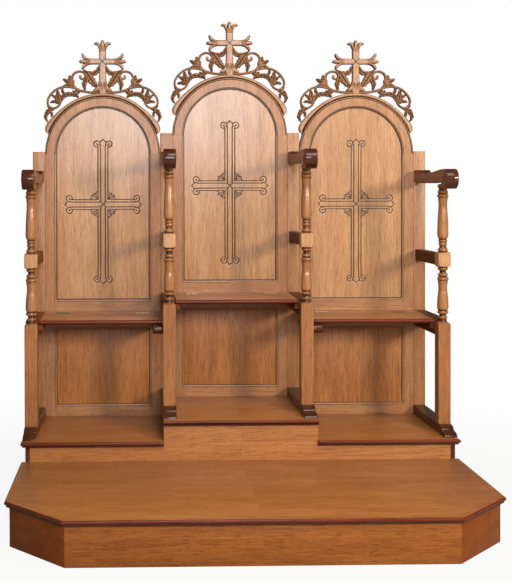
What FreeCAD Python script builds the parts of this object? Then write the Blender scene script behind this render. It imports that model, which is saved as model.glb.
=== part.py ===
import FreeCAD, Part
import math
import os
import Sketcher
from FreeCAD import Placement, Rotation, Vector

# A choir stall for three: three seats side by side on a raised floor, the middle one a step
# higher, with a wide chamfered step in front.  Every seat has a framed back with a round
# head and a pierced crest, and tips up on a pair of hinges.  Four front posts carry the arms.
#
# Frame: X to the right, Y to the back, Z up.  The origin is on the floor, in the middle of
# the footprint.  All lengths are millimetres.

os.makedirs("parts", exist_ok=True)
doc = FreeCAD.newDocument("choir_stall")

# ---------------------------------------------------------------------------------------
# Driving dimensions.  Each has one row in the sheet: name, value, what it is.
# ---------------------------------------------------------------------------------------
DRIVING = [
    ("stall_pitch", 630, "from one front post to the next"),
    # the wide step in front
    ("dais_height", 180, "floor to the top of the front step"),
    ("dais_depth", 800, "front step, from its lip back to the stall floor's front board"),
    ("dais_chamfer", 240, "how far each front corner of the step is cut off"),
    # the stall floor
    ("side_step", 90, "from the front step up to the outer seats' floor"),
    ("centre_step", 92, "from the outer seats' floor up to the middle one's"),
    ("board_thickness", 20, "upright boards under both floors"),
    ("deck_thickness", 24, "floor boards and their nosings"),
    ("joist_width", 40, "bearers under the floors"),
    ("nosing_overhang", 20, "how far a nosing stands out from the board below"),
    ("nosing_depth", 22, "front to back of a nosing"),
    ("nosing_radius", 9, "rounded upper edge of a nosing"),
    ("nosing_fillet_drop", 14, "from a nosing's top to its lower quirk"),
    ("nosing_quirk", 7, "how far the lower part of a nosing steps in"),
    ("side_setback", 15, "stall floor's side boards, inside the outer posts' faces"),
    ("toe_margin", 7, "from the tip of a sledge foot to the face of the front board"),
    # the back
    ("back_post_width", 60, "back post, side to side"),
    ("back_post_depth", 40, "back post, front to back"),
    ("back_post_rise", 12, "top of a back post above the springing of the arch"),
    ("frame_thickness", 32, "stiles, rails and arched head"),
    ("stile_width", 57, "stiles and arched head"),
    ("spring_height", 1295, "stall floor to the springing of the arch"),
    ("bottom_rail_height", 57, "bottom rail of the back"),
    ("sill_height", 577, "stall floor to the bottom of the upper panel"),
    ("middle_rail_height", 147, "rail behind the seat"),
    ("panel_thickness", 12, "back panels"),
    ("panel_recess", 8, "panel face behind the frame's face"),
    ("panel_tongue", 8, "how far a panel enters its groove"),
    ("panel_clearance", 0.3, "all round a panel in its groove"),
    ("edge_rebate", 4, "step cut into the frame's edges beside a panel"),
    # the cross cut into each upper panel
    ("cross_drop", 250, "springing of the arch down to the arms of the cross"),
    ("cross_up_reach", 318, "arms of the cross up to its top"),
    ("cross_down_reach", 389, "arms of the cross down to its foot"),
    ("cross_side_reach", 185, "middle of the cross to the end of an arm"),
    ("cross_half_width", 24.5, "middle of the cross to its outer line"),
    ("cross_line_gap", 12.5, "from one line of the cross to the other"),
    ("cross_line_width", 4, "line of the cross"),
    ("cross_line_depth", 2.5, "line of the cross"),
    # front posts, with heights above the stall floor
    ("front_post_width", 58, "square part of a front post"),
    ("front_post_reach", 406, "face of the back to the front face of a front post"),
    ("runner_height", 42, "sledge foot under a front post"),
    ("toe_reach", 97, "tip of a sledge foot in front of its post"),
    ("toe_swell", 46, "first, convex half of the toe, from the post's face"),
    ("toe_step", 26, "height of the toe where its convex half ends"),
    ("toe_height", 21, "height of the toe where its second half starts"),
    ("leg_top", 502, "top of a post's square leg"),
    ("block_bottom", 759, "bottom of the square block at the middle rail"),
    ("block_height", 68, "square block"),
    ("post_top", 1150, "top of a post, under its arm"),
    ("leg_chamfer", 5, "chamfer on the square leg"),
    # arms and rails between front and back posts
    ("arm_width", 56, "arm, side to side"),
    ("arm_thickness", 49, "arm, in its waist"),
    ("arm_tail_height", 54, "arm, at its raised tail"),
    ("arm_tail_length", 78, "raised tail of an arm"),
    ("arm_tail_rise", 8, "underside of the tail, above the post's top"),
    ("arm_nose", 11, "rounded front of the raised tail"),
    ("arm_hollow", 72, "slope from the tail down to the waist"),
    ("arm_dip", 4.9, "how far the waist sags below the post's top"),
    ("volute_radius", 45, "rolled front end of an arm"),
    ("volute_reach", 120, "front of the roll, ahead of the post's front face"),
    ("volute_rise", 12.5, "middle of the roll, above the top of the post"),
    ("elbow_rail_width", 42, "lower arm rail, side to side"),
    ("elbow_rail_height", 54, "lower arm rail"),
    ("elbow_rail_level", 765, "stall floor to the underside of the lower arm rail"),
    # seats
    ("seat_height", 517, "stall floor to the top of a seat"),
    ("seat_thickness", 20, "seat board"),
    ("seat_setback", 48, "front of a seat, behind the post's front face"),
    ("seat_side_gap", 3, "between a seat and the rail beside it"),
    ("seat_rest_gap", 0.3, "between a lowered seat and what it rests on"),
    ("lipping_depth", 14, "dark lipping on the front edge of a seat"),
    ("hinge_setback", 75, "hinge pin, in front of the face of the back"),
    ("hinge_gap", 4, "between a seat and the fixed strip behind it, under the pin"),
    ("hinge_length", 64, "hinge leaf, along the pin"),
    ("hinge_leaf_depth", 24, "hinge leaf, across the pin"),
    ("hinge_leaf_thickness", 1.6, "hinge leaf"),
    ("hinge_knuckle_radius", 3.2, "hinge knuckle"),
    ("hinge_pin_clearance", 0.4, "between a hinge pin and its bore, all round"),
    ("hinge_inset", 60, "from the end of a seat to its hinge"),
    ("seat_rail_height", 74, "rail under the outer edge of a seat"),
    ("ledge_width", 20, "strip that a seat rests on"),
    ("ledge_height", 25, "strip that a seat rests on"),
    ("bracket_width", 46, "rolled bracket under the inner end of an outer seat"),
    ("bracket_height", 54, "rolled bracket"),
    ("bracket_reach", 384, "rolled bracket, in front of the face of the back"),
    ("bracket_roll", 20, "radius of a bracket's rolled front"),
    # crest, with places measured from the middle of the arch
    ("crest_thickness", 22, "carved crest"),
    ("crest_band", 18, "band that the crest stands on"),
    ("crest_cross_height", 567, "middle of the arch to the top of the cross"),
    ("crest_cross_span", 230, "tip to tip of the cross arms"),
    ("crest_vine", 11, "width of a carved stem"),
    ("crest_bar_drop", 108, "top of the cross down to the middle of its arms"),
    ("crest_cross_stem", 33, "upright of the cross"),
    ("crest_cross_bar", 26, "arms of the cross"),
    ("crest_petal_length", 44, "petal at an end of the cross"),
    ("crest_petal_width", 19, "petal at an end of the cross"),
    ("crest_foot_height", 34, "spreading foot of the cross, above the band"),
    ("crest_setback", 5, "face of the back to the face of the crest"),
]

sheet = doc.addObject("Spreadsheet::Sheet", "Sizes")
sheet.Label = "Sizes"


class Size:
    """A length that knows both its value and the sheet formula that it comes from."""

    def __init__(self, value, formula):
        self.value = float(value)
        self.formula = formula

    def _join(self, other, sign, value):
        return Size(value, "(" + self.formula + " " + sign + " " + other.formula + ")")

    def __add__(self, other):
        other = as_size(other)
        return self._join(other, "+", self.value + other.value)

    def __sub__(self, other):
        other = as_size(other)
        return self._join(other, "-", self.value - other.value)

    def __mul__(self, other):
        other = as_size(other)
        return self._join(other, "*", self.value * other.value)

    def __truediv__(self, other):
        other = as_size(other)
        return self._join(other, "/", self.value / other.value)

    def __radd__(self, other):
        return as_size(other) + self

    def __rsub__(self, other):
        return as_size(other) - self

    def __rmul__(self, other):
        return as_size(other) * self

    def __neg__(self):
        return as_size(0) - self


def as_size(number):
    """Plain numbers take part in formulas as themselves."""
    if isinstance(number, Size):
        return number
    return Size(number, repr(float(number)))


def read_sheet():
    """Write the driving dimensions to the sheet and hand back one Size for each name."""
    sizes = {}
    for row, (name, value, meaning) in enumerate(DRIVING, start=1):
        sheet.set("A" + str(row), meaning)
        sheet.set("B" + str(row), str(value))
        sheet.setAlias("B" + str(row), name)
        sizes[name] = Size(value, "Sizes." + name)
    doc.recompute()
    return sizes


D = read_sheet()

# ---------------------------------------------------------------------------------------
# Places that several pieces share, worked out once.
# ---------------------------------------------------------------------------------------
ZERO = as_size(0)
MITRE_SHIFT = math.tan(math.radians(22.5))      # a 45 degree corner moves by this when offset

stall_floor_reach = D["front_post_reach"] + D["toe_reach"] + D["toe_margin"]
total_depth = D["dais_depth"] + stall_floor_reach + D["back_post_depth"]
rear_y = total_depth / 2
face_y = rear_y - D["back_post_depth"]          # front face of the back: posts and frames
floor_front_y = face_y - stall_floor_reach      # face of the stall floor's front board
dais_front_y = -rear_y

side_level = D["dais_height"] + D["side_step"]
centre_level = side_level + D["centre_step"]

post_half = D["front_post_width"] / 2
back_post_half = D["back_post_width"] / 2
inner_line = D["stall_pitch"] / 2               # middle of an inner post, from the centre
outer_line = D["stall_pitch"] * 1.5             # middle of an outer post
centre_half = inner_line + back_post_half       # half the width of the middle floor
floor_half = outer_line + back_post_half - D["side_setback"]
lip_half = floor_half + D["nosing_overhang"]    # half the width over the nosings

frame_half = (D["stall_pitch"] - D["back_post_width"]) / 2
opening_half = frame_half - D["stile_width"]    # half the width between the stiles
post_back_reach = D["front_post_reach"] - D["front_post_width"]
post_axis_reach = D["front_post_reach"] - post_half
seat_reach = D["front_post_reach"] - D["seat_setback"]

# side of the centre line, floor level and middle of each seat
STALLS = [
    ("left", -D["stall_pitch"], side_level),
    ("centre", ZERO, centre_level),
    ("right", D["stall_pitch"], side_level),
]
# name, middle line and floor level of each front post
POST_LINES = [
    ("outer_left", -outer_line, side_level),
    ("inner_left", -inner_line, centre_level),
    ("inner_right", inner_line, centre_level),
    ("outer_right", outer_line, side_level),
]


def ahead(reach):
    """The Y of something that lies this far in front of the face of the back."""
    return face_y - reach


# ---------------------------------------------------------------------------------------
# Ways of making a piece.
# ---------------------------------------------------------------------------------------
KEPT = []                                       # the sub-parts that are written out


def keep(piece, label):
    """Name a finished sub-part and put it on the list of files."""
    piece.Label = label
    KEPT.append(piece)
    return piece


def bind(piece, path, length):
    """Tie one property of a piece to the sheet, or set it where it is a plain number."""
    piece.setExpression(path, length.formula)


def put(piece, x=ZERO, y=ZERO, z=ZERO):
    """Place a piece, with each coordinate tied to the sheet."""
    piece.Placement.Base = Vector(x.value, y.value, z.value)
    bind(piece, ".Placement.Base.x", x)
    bind(piece, ".Placement.Base.y", y)
    bind(piece, ".Placement.Base.z", z)
    return piece


def board(name, low, high):
    """A plain board between two corners, each given as x, y and z."""
    piece = doc.addObject("Part::Box", name)
    for path, start, end in zip(("Length", "Width", "Height"), low, high):
        bind(piece, path, as_size(end) - start)
    return put(piece, *[as_size(start) for start in low])


def group(label, members):
    """Separate pieces that share one node."""
    piece = doc.addObject("Part::Compound", label)
    piece.Links = members
    return keep(piece, label)


def origin_plane(body, role):
    """One of a body's own three planes."""
    return next(plane for plane in body.Origin.OriginFeatures if plane.Role == role)


def arc_between(start, end, radius):
    """Centre of the short arc from start to end: left of the way for a positive radius."""
    chord = end - start
    middle = (start + end) * 0.5
    across = Vector(-chord.y, chord.x, 0).normalize()
    rise = math.sqrt(max(radius * radius - chord.Length ** 2 / 4, 0.0))
    return middle + across * math.copysign(rise, radius)


def draw_outline(sketch, corners, closed=True):
    """Draw one outline in a sketch and tie its corners to the sheet."""
    before = sketch.GeometryCount
    held = sketch.ConstraintCount
    points = [Vector(as_size(c[0]).value, as_size(c[1]).value, 0) for c in corners]
    stretches = len(corners) if closed else len(corners) - 1
    upright = Vector(0, 0, 1)
    for i in range(stretches):
        start = points[i]
        end = points[(i + 1) % len(points)]
        if len(corners[i]) == 2:
            sketch.addGeometry(Part.LineSegment(start, end), False)
            continue
        radius = as_size(corners[i][2]).value
        centre = arc_between(start, end, radius)
        first, last = (start, end) if radius > 0 else (end, start)
        angles = [math.atan2(p.y - centre.y, p.x - centre.x) for p in (first, last)]
        circle = Part.Circle(centre, upright, abs(radius))
        sketch.addGeometry(Part.ArcOfCircle(circle, *angles), False)

    def end_point(index, at_start):
        """Which end of a stretch is its start: arcs that turn right are stored backwards."""
        turns_right = len(corners[index]) == 3 and as_size(corners[index][2]).value < 0
        return 1 if at_start != turns_right else 2

    rules = []
    for i in range(stretches):
        following = (i + 1) % len(points)
        if closed or following < stretches:
            rules.append((Sketcher.Constraint("Coincident", before + i, end_point(i, False),
                                              before + following, end_point(following, True)),
                          None))
    ends = [(before + i, end_point(i, True)) for i in range(stretches)]
    if not closed:
        ends.append((before + stretches - 1, end_point(stretches - 1, False)))
    for (stretch, which), corner in zip(ends, corners):
        for axis, kind, length in ((-2, "DistanceX", as_size(corner[0])),
                                   (-1, "DistanceY", as_size(corner[1]))):
            if length.value == 0:
                rules.append((Sketcher.Constraint("PointOnObject", stretch, which, axis), None))
            else:
                rules.append((Sketcher.Constraint(kind, -1, 1, stretch, which,
                                                  length.value), length))
    for i in range(stretches):
        if len(corners[i]) == 3:
            radius = as_size(corners[i][2])
            bound = radius if radius.value > 0 else -radius
            rules.append((Sketcher.Constraint("Radius", before + i, bound.value), bound))
    sketch.addConstraint([rule for rule, length in rules])
    for index, (rule, length) in enumerate(rules, start=held):
        if length is not None:
            sketch.setExpression("Constraints[" + str(index) + "]", length.formula)


def outline_sketch(body, name, role, corners, closed=True):
    """A sketch of one outline.

    Each corner is (u, v) or (u, v, radius).  A radius makes the stretch to the next corner
    an arc, with its centre on the left for a positive radius.
    """
    sketch = body.newObject("Sketcher::SketchObject", name)
    sketch.AttachmentSupport = [(origin_plane(body, role), "")]
    sketch.MapMode = "FlatFace"
    draw_outline(sketch, corners, closed)
    return sketch


def new_body(name):
    return doc.addObject("PartDesign::Body", name)


def padded(name, role, corners, length):
    """A body with one outline padded along its plane's normal, both ways from the plane."""
    body = new_body(name)
    sketch = outline_sketch(body, name + "_outline", role, corners)
    pad = body.newObject("PartDesign::Pad", name + "_pad")
    pad.Profile = sketch
    pad.Midplane = True
    bind(pad, "Length", length)
    body.Tip = pad
    return body


def turned(name, role, corners, axis="V_Axis", angle=360, backwards=False):
    """A body with one outline turned about an axis of its sketch."""
    body = new_body(name)
    sketch = outline_sketch(body, name + "_outline", role, corners)
    turn = body.newObject("PartDesign::Revolution", name + "_turn")
    turn.Profile = sketch
    turn.ReferenceAxis = (sketch, [axis])
    turn.Angle = angle
    turn.Reversed = backwards
    body.Tip = turn
    return body


def moulding_run(name, profile, path):
    """A moulding carried along a path in plan, with mitred corners."""
    body = new_body(name)
    spine = outline_sketch(body, name + "_path", "XY_Plane", path, closed=False)
    section = outline_sketch(body, name + "_profile", "XZ_Plane", profile)
    section.AttachmentOffset = Placement(Vector(0, 0, -path[0][1].value), Rotation())
    bind(section, ".AttachmentOffset.Base.z", -path[0][1])
    pipe = body.newObject("PartDesign::AdditivePipe", name + "_run")
    pipe.Profile = section
    pipe.Spine = (spine, ["Edge" + str(i + 1) for i in range(len(path) - 1)])
    pipe.Transition = "Right corner"
    body.Tip = pipe
    return body


def slab(name, corners, low, high):
    """A flat piece with any outline in plan, between two heights."""
    body = padded(name, "XY_Plane", corners, as_size(high) - low)
    return put(body, z=(low + high) / 2)


def nosing_profile(edge):
    """Section of a nosing: rounded above, stepped in below.  Its lip is at the edge."""
    top = D["deck_thickness"]
    radius = D["nosing_radius"]
    quirk = edge + D["nosing_quirk"]
    drop = top - D["nosing_fillet_drop"]
    return [(quirk, ZERO), (edge + D["nosing_depth"], ZERO), (edge + D["nosing_depth"], top),
            (edge + radius, top, radius), (edge, top - radius), (edge, drop), (quirk, drop)]


# ---------------------------------------------------------------------------------------
# The front step: mitred boards round its sides, bearers inside, a deck and a nosing.
# ---------------------------------------------------------------------------------------
dais_board_top = D["dais_height"] - D["deck_thickness"]
board_face = D["nosing_overhang"]               # boards lie this far inside the lip
board_back = board_face + D["board_thickness"]


def dais_corners(inset):
    """The right-hand side and front corners of the step's outline, moved in from its lip."""
    shift = inset * MITRE_SHIFT
    side = (lip_half - inset, dais_front_y + D["dais_chamfer"] + shift)
    front = (lip_half - D["dais_chamfer"] - shift, dais_front_y + inset)
    return side, front


def across(corner):
    """The same corner on the other side of the centre line."""
    return (-corner[0], corner[1])


def on_side(side, corners):
    """Right-hand corners as they are, or mirrored to the left, keeping their turning sense."""
    if side > 0:
        return corners
    return [across(corner) for corner in reversed(corners)]


face_side, face_front = dais_corners(board_face)
back_side, back_front = dais_corners(board_back)
dais_front_board = slab("dais_front_board", [across(face_front), face_front, back_front,
                                             across(back_front)], ZERO, dais_board_top)
keep(dais_front_board, "dais_front_board")

chamfer_boards = []
side_boards = []
for side, hand in ((-1, "left"), (1, "right")):
    corners = [face_front, face_side, back_side, back_front]
    chamfer_boards.append(slab("dais_chamfer_board_" + hand, on_side(side, corners),
                               ZERO, dais_board_top))
    corners = [face_side, (face_side[0], floor_front_y), (back_side[0], floor_front_y), back_side]
    side_boards.append(slab("dais_side_board_" + hand, on_side(side, corners),
                            ZERO, dais_board_top))
group("dais_chamfer_boards", chamfer_boards)
group("dais_side_boards", side_boards)

dais_back_board = board(
    "dais_back_board",
    (-back_side[0], floor_front_y - D["board_thickness"], ZERO),
    (back_side[0], floor_front_y, dais_board_top))
keep(dais_back_board, "dais_back_board")

deck_side, deck_front = dais_corners(D["nosing_depth"])
dais_deck = slab("dais_deck", [(-deck_side[0], floor_front_y), across(deck_side),
                               across(deck_front), deck_front, deck_side,
                               (deck_side[0], floor_front_y)],
                 dais_board_top, D["dais_height"])
keep(dais_deck, "dais_deck")

lip_side, lip_front = dais_corners(ZERO)
dais_nosing = moulding_run(
    "dais_nosing", nosing_profile(-lip_half),
    [(-lip_half, floor_front_y), across(lip_side), across(lip_front), lip_front, lip_side,
     (lip_half, floor_front_y)])
keep(put(dais_nosing, z=dais_board_top), "dais_nosing")

# ---------------------------------------------------------------------------------------
# The stall floor: boards round it, a raised middle, decks and nosings.
# ---------------------------------------------------------------------------------------
side_board_top = side_level - D["deck_thickness"]
centre_board_top = centre_level - D["deck_thickness"]
board_inner = floor_half - D["board_thickness"]
front_board_back = floor_front_y + D["board_thickness"]
back_board_front = rear_y - D["board_thickness"]


def stepped_board(label, y):
    """A board across the whole floor, with its middle standing up to the higher floor."""
    corners = [(-board_inner, ZERO), (board_inner, ZERO), (board_inner, side_board_top),
               (centre_half, side_board_top), (centre_half, centre_board_top),
               (-centre_half, centre_board_top), (-centre_half, side_board_top),
               (-board_inner, side_board_top)]
    body = padded(label, "XZ_Plane", corners, D["board_thickness"])
    return keep(put(body, y=y + D["board_thickness"] / 2), label)


stepped_board("floor_front_board", floor_front_y)
stepped_board("floor_back_board", back_board_front)

HANDS = [(-1, "left"), (1, "right")]
floor_lip_y = floor_front_y - D["nosing_overhang"]
deck_front_y = floor_lip_y + D["nosing_depth"]


def one_side(name, side, inner, outer, front, back, low, high):
    """A board on one side of the centre line, between two distances from it."""
    start, end = (inner, outer) if side > 0 else (-outer, -inner)
    return board(name, (start, front, low), (end, back, high))


group("floor_side_boards", [
    one_side("floor_side_board_" + hand, side, board_inner, floor_half,
             floor_front_y, rear_y, ZERO, side_board_top) for side, hand in HANDS])
group("floor_cross_boards", [
    one_side("floor_cross_board_" + hand, side, centre_half - D["board_thickness"], centre_half,
             front_board_back, back_board_front, ZERO, centre_board_top) for side, hand in HANDS])
for side, hand in HANDS:
    keep(one_side("deck_" + hand, side, centre_half, lip_half - D["nosing_depth"],
                  deck_front_y, rear_y, side_board_top, side_level), "deck_" + hand)
deck_centre = board("deck_centre", (-centre_half, deck_front_y, centre_board_top),
                    (centre_half, rear_y, centre_level))
keep(deck_centre, "deck_centre")

# The outer nosings turn the corner and run back to the wall; the middle one is straight.
left_nosing = moulding_run(
    "deck_nosing_left", nosing_profile(-lip_half),
    [(-lip_half, rear_y), (-lip_half, floor_lip_y), (-centre_half, floor_lip_y)])
put(left_nosing, z=side_board_top)
right_nosing = doc.addObject("Part::Mirroring", "deck_nosing_right")
right_nosing.Source = left_nosing
right_nosing.Normal = Vector(1, 0, 0)
centre_nosing = padded("deck_nosing_centre", "YZ_Plane", nosing_profile(floor_lip_y),
                       centre_half * 2)
put(centre_nosing, z=centre_board_top)
group("deck_nosing", [left_nosing, right_nosing, centre_nosing])

# Bearers run from front to back under the decks, standing on the floor.
half_joist = D["joist_width"] / 2
dais_bay = (dais_front_y + board_back, floor_front_y - D["board_thickness"])
floor_bay = (front_board_back, back_board_front)
joist_pitch = (lip_half - D["dais_chamfer"] - board_back) / 2


def joist(name, x, bay, top):
    """One bearer, with its middle line at x."""
    return board(name, (x - half_joist, bay[0], ZERO), (x + half_joist, bay[1], top))


joists = [
    joist("dais_joist_middle", ZERO, dais_bay, dais_board_top),
    joist("centre_joist", ZERO, floor_bay, centre_board_top),
]
for side, hand in HANDS:
    for place, name in ((1, "inner"), (2, "outer")):
        joists.append(joist("dais_joist_" + name + "_" + hand, joist_pitch * (side * place),
                            dais_bay, dais_board_top))
    end_bay = (back_side[1], dais_bay[1])
    joists.append(joist("dais_joist_end_" + hand, (back_side[0] - half_joist) * side,
                        end_bay, dais_board_top))
    joists.append(joist("centre_joist_" + hand,
                        (centre_half - D["board_thickness"] - half_joist) * side,
                        floor_bay, centre_board_top))
    for name, distance in (("inner", centre_half + half_joist), ("middle", D["stall_pitch"]),
                           ("outer", board_inner - half_joist)):
        joists.append(joist("side_joist_" + name + "_" + hand, distance * side,
                            floor_bay, side_board_top))
group("floor_joists", joists)

# ---------------------------------------------------------------------------------------
# The back: posts between the stalls, and in each stall a frame with two panels.
# ---------------------------------------------------------------------------------------
back_post_top = D["spring_height"] + D["back_post_rise"]


def pair_of_back_posts(label, line, level):
    posts = []
    for side, hand in HANDS:
        posts.append(board(label + "_" + hand,
                           (line * side - back_post_half, face_y, level),
                           (line * side + back_post_half, rear_y, level + back_post_top)))
    group(label, posts)


pair_of_back_posts("back_posts_outer", outer_line, side_level)
pair_of_back_posts("back_posts_inner", inner_line, centre_level)

# The groove that holds a panel, measured back from the frame's face and in from its edge.
groove_front = D["panel_recess"] - D["panel_clearance"]
groove_back = D["panel_recess"] + D["panel_thickness"] + D["panel_clearance"]
groove_depth = D["panel_tongue"] + D["panel_clearance"]
tongue_front = D["panel_recess"]
tongue_back = D["panel_recess"] + D["panel_thickness"]
panel_middle_y = face_y + D["panel_recess"] + D["panel_thickness"] / 2


def grooved_edge(inner, outer, sign=1):
    """Section of a frame member: rebated at its inner front edge, grooved for a panel.

    The section runs across the member from the inner to the outer edge, and back from its
    face.  With sign -1 it is mirrored across the member.
    """
    step = sign * D["edge_rebate"]
    depth = sign * groove_depth
    corners = [(inner, D["edge_rebate"]), (inner + step, D["edge_rebate"]), (inner + step, ZERO),
               (outer, ZERO), (outer, D["frame_thickness"]), (inner, D["frame_thickness"]),
               (inner, groove_back), (inner + depth, groove_back),
               (inner + depth, groove_front), (inner, groove_front)]
    return corners


def stile(name, x, side, level):
    """An upright of the frame.  Its groove faces the middle of the stall."""
    body = padded(name, "XY_Plane", grooved_edge(opening_half * side, frame_half * side, side),
                  D["spring_height"])
    return put(body, x=x, y=face_y, z=level + D["spring_height"] / 2)


def rail(name, x, bottom, top, level, grooves):
    """A cross member with tongues in the stiles, rebated and grooved on the edges named."""
    step = D["edge_rebate"]
    corners = [(ZERO, bottom)]
    if "bottom" in grooves:
        corners = [(ZERO, bottom + step), (step, bottom + step), (step, bottom),
                   (groove_front, bottom),
                   (groove_front, bottom + groove_depth), (groove_back, bottom + groove_depth),
                   (groove_back, bottom)]
    corners += [(D["frame_thickness"], bottom), (D["frame_thickness"], top),
                (groove_back, top), (groove_back, top - groove_depth),
                (groove_front, top - groove_depth), (groove_front, top),
                (step, top), (step, top - step), (ZERO, top - step)]
    body = padded(name, "YZ_Plane", corners, opening_half * 2)
    tongue_low = bottom + groove_depth if "bottom" in grooves else bottom
    tongue_high = top - groove_depth
    tongue = outline_sketch(body, name + "_tongue", "YZ_Plane",
                            [(tongue_front, tongue_low), (tongue_back, tongue_low),
                             (tongue_back, tongue_high), (tongue_front, tongue_high)])
    pad = body.newObject("PartDesign::Pad", name + "_tongues")
    pad.Profile = tongue
    pad.Midplane = True
    bind(pad, "Length", (opening_half + D["panel_tongue"]) * 2)
    body.Tip = pad
    return put(body, x=x, y=face_y, z=level)


middle_rail_bottom = D["sill_height"] - D["middle_rail_height"]
panel_half = opening_half + D["panel_tongue"]


def lower_panel(name, x, level):
    low = D["bottom_rail_height"] - D["panel_tongue"]
    high = middle_rail_bottom + D["panel_tongue"]
    front = panel_middle_y - D["panel_thickness"] / 2
    return board(name, (x - panel_half, front, level + low),
                 (x + panel_half, front + D["panel_thickness"], level + high))


def cross_outline(half_width, inset):
    """A cross with arms of one width, its ends drawn in by the inset."""
    middle = D["spring_height"] - D["cross_drop"]
    side = D["cross_side_reach"] - inset
    low = middle - (D["cross_down_reach"] - inset)
    high = middle + (D["cross_up_reach"] - inset)
    right = [(half_width, low), (half_width, middle - half_width), (side, middle - half_width),
             (side, middle + half_width), (half_width, middle + half_width), (half_width, high)]
    return right + [(-corner[0], corner[1]) for corner in reversed(right)]


def incise_cross(body, name):
    """Cut the two lines of the cross, one inside the other, into a panel's face."""
    half_line = D["cross_line_width"] / 2
    sketch = body.newObject("Sketcher::SketchObject", name + "_cross")
    sketch.AttachmentSupport = [(origin_plane(body, "XZ_Plane"), "")]
    sketch.MapMode = "FlatFace"
    sketch.AttachmentOffset = Placement(Vector(0, 0, D["panel_thickness"].value / 2), Rotation())
    bind(sketch, ".AttachmentOffset.Base.z", D["panel_thickness"] / 2)
    for inset in (ZERO, D["cross_line_gap"]):
        line = D["cross_half_width"] - inset
        draw_outline(sketch, cross_outline(line + half_line, inset - half_line))
        draw_outline(sketch, cross_outline(line - half_line, inset + half_line))
    cut = body.newObject("PartDesign::Pocket", name + "_cut")
    cut.Profile = sketch
    bind(cut, "Length", D["cross_line_depth"])
    body.Tip = cut


def upper_panel(name, x, level):
    """The tall panel, with a round head that enters the groove of the arch."""
    low = D["sill_height"] - D["panel_tongue"]
    spring = D["spring_height"]
    corners = [(-panel_half, low), (panel_half, low), (panel_half, spring, panel_half),
               (ZERO, spring + panel_half, panel_half), (-panel_half, spring)]
    body = padded(name, "XZ_Plane", corners, D["panel_thickness"])
    incise_cross(body, name)
    return put(body, x=x, y=panel_middle_y, z=level)


for stall, x, level in STALLS:
    group("back_stiles_" + stall, [stile("back_stile_" + stall + "_" + hand, x, side, level)
                                   for side, hand in HANDS])
    group("back_rails_" + stall, [
        rail("middle_rail_" + stall, x, middle_rail_bottom, D["sill_height"], level,
             ("bottom", "top")),
        rail("bottom_rail_" + stall, x, ZERO, D["bottom_rail_height"], level, ("top",))])
    arch = turned("arch_head_" + stall, "XY_Plane", grooved_edge(opening_half, frame_half),
                  angle=180, backwards=True)
    keep(put(arch, x=x, y=face_y, z=level + D["spring_height"]), "arch_head_" + stall)
    keep(upper_panel("upper_panel_" + stall, x, level), "upper_panel_" + stall)
    keep(lower_panel("lower_panel_" + stall, x, level), "lower_panel_" + stall)

# ---------------------------------------------------------------------------------------
# Front posts: a chamfered leg, a turned waist, a square block and a turned column.
# ---------------------------------------------------------------------------------------
block_top = D["block_bottom"] + D["block_height"]
leg_length = D["leg_top"] - D["runner_height"]
waist = D["block_bottom"] - D["leg_top"]
column = D["post_top"] - block_top

# Turned outlines, from the bottom up: share of the length, and radius as a share of the
# post's half width.
WAIST_OUTLINE = [
    (0.00, 0.60), (0.17, 0.60),                     # neck above the leg
    (0.22, 0.87), (0.74, 0.70),                     # belly, tapering upwards
    (0.76, 0.86), (0.88, 0.86),                     # ring
    (0.88, 0.53), (0.95, 0.53),                     # neck
    (0.95, 0.78), (1.00, 0.78),                     # collar under the block
]
COLUMN_OUTLINE = [
    (0.00, 0.72), (0.08, 0.57), (0.17, 0.57),       # flare above the block, and a neck
    (0.25, 0.86), (0.76, 0.68),                     # belly, tapering upwards
    (0.78, 0.88), (0.87, 0.88),                     # ring
    (0.87, 0.57), (1.00, 0.57),                     # neck under the arm
]


def turned_stretch(outline, start, length):
    """Corners of a turned stretch, from its bottom to its top."""
    return [(post_half * width, start + length * share) for share, width in outline]


def front_post(name, x, level):
    body = new_body(name)
    half = post_half
    cut = half - D["leg_chamfer"]
    square = [(-cut, -half), (cut, -half), (half, -cut), (half, cut),
              (cut, half), (-cut, half), (-half, cut), (-half, -cut)]
    block = [(-half, -half), (half, -half), (half, half), (-half, half)]
    lower_end = D["leg_top"] - half             # the turning starts inside the square leg
    turning = [(ZERO, lower_end), (half * 0.9, lower_end), (half * 0.9, D["leg_top"])]
    turning += turned_stretch(WAIST_OUTLINE, D["leg_top"], waist)
    turning += turned_stretch(COLUMN_OUTLINE, block_top, column)
    turning += [(ZERO, D["post_top"])]
    for part, outline, low, length in (("leg", square, D["runner_height"], leg_length),
                                       ("block", block, D["block_bottom"], D["block_height"])):
        sketch = outline_sketch(body, name + "_" + part, "XY_Plane", outline)
        sketch.AttachmentOffset = Placement(Vector(0, 0, low.value), Rotation())
        bind(sketch, ".AttachmentOffset.Base.z", low)
        pad = body.newObject("PartDesign::Pad", name + "_" + part + "_pad")
        pad.Profile = sketch
        bind(pad, "Length", length)
    sketch = outline_sketch(body, name + "_turning", "XZ_Plane", turning)
    turn = body.newObject("PartDesign::Revolution", name + "_turn")
    turn.Profile = sketch
    turn.ReferenceAxis = (sketch, ["V_Axis"])
    turn.Angle = 360
    body.Tip = turn
    return put(body, x=x, y=ahead(post_axis_reach), z=level)


def floor_runner(name, x, level):
    """The sledge foot: flat under the post, with an ogee toe in front of it."""
    reach = D["front_post_reach"]
    swell_end = reach + D["toe_swell"]
    tip = reach + D["toe_reach"]
    corners = [(ZERO, ZERO), (ZERO, D["runner_height"]),
               (-reach, D["runner_height"], D["toe_swell"]), (-swell_end, D["toe_step"]),
               (-swell_end, D["toe_height"], D["toe_swell"]), (-tip, ZERO)]
    body = padded(name, "YZ_Plane", corners, D["front_post_width"])
    return put(body, x=x, y=face_y, z=level)


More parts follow.
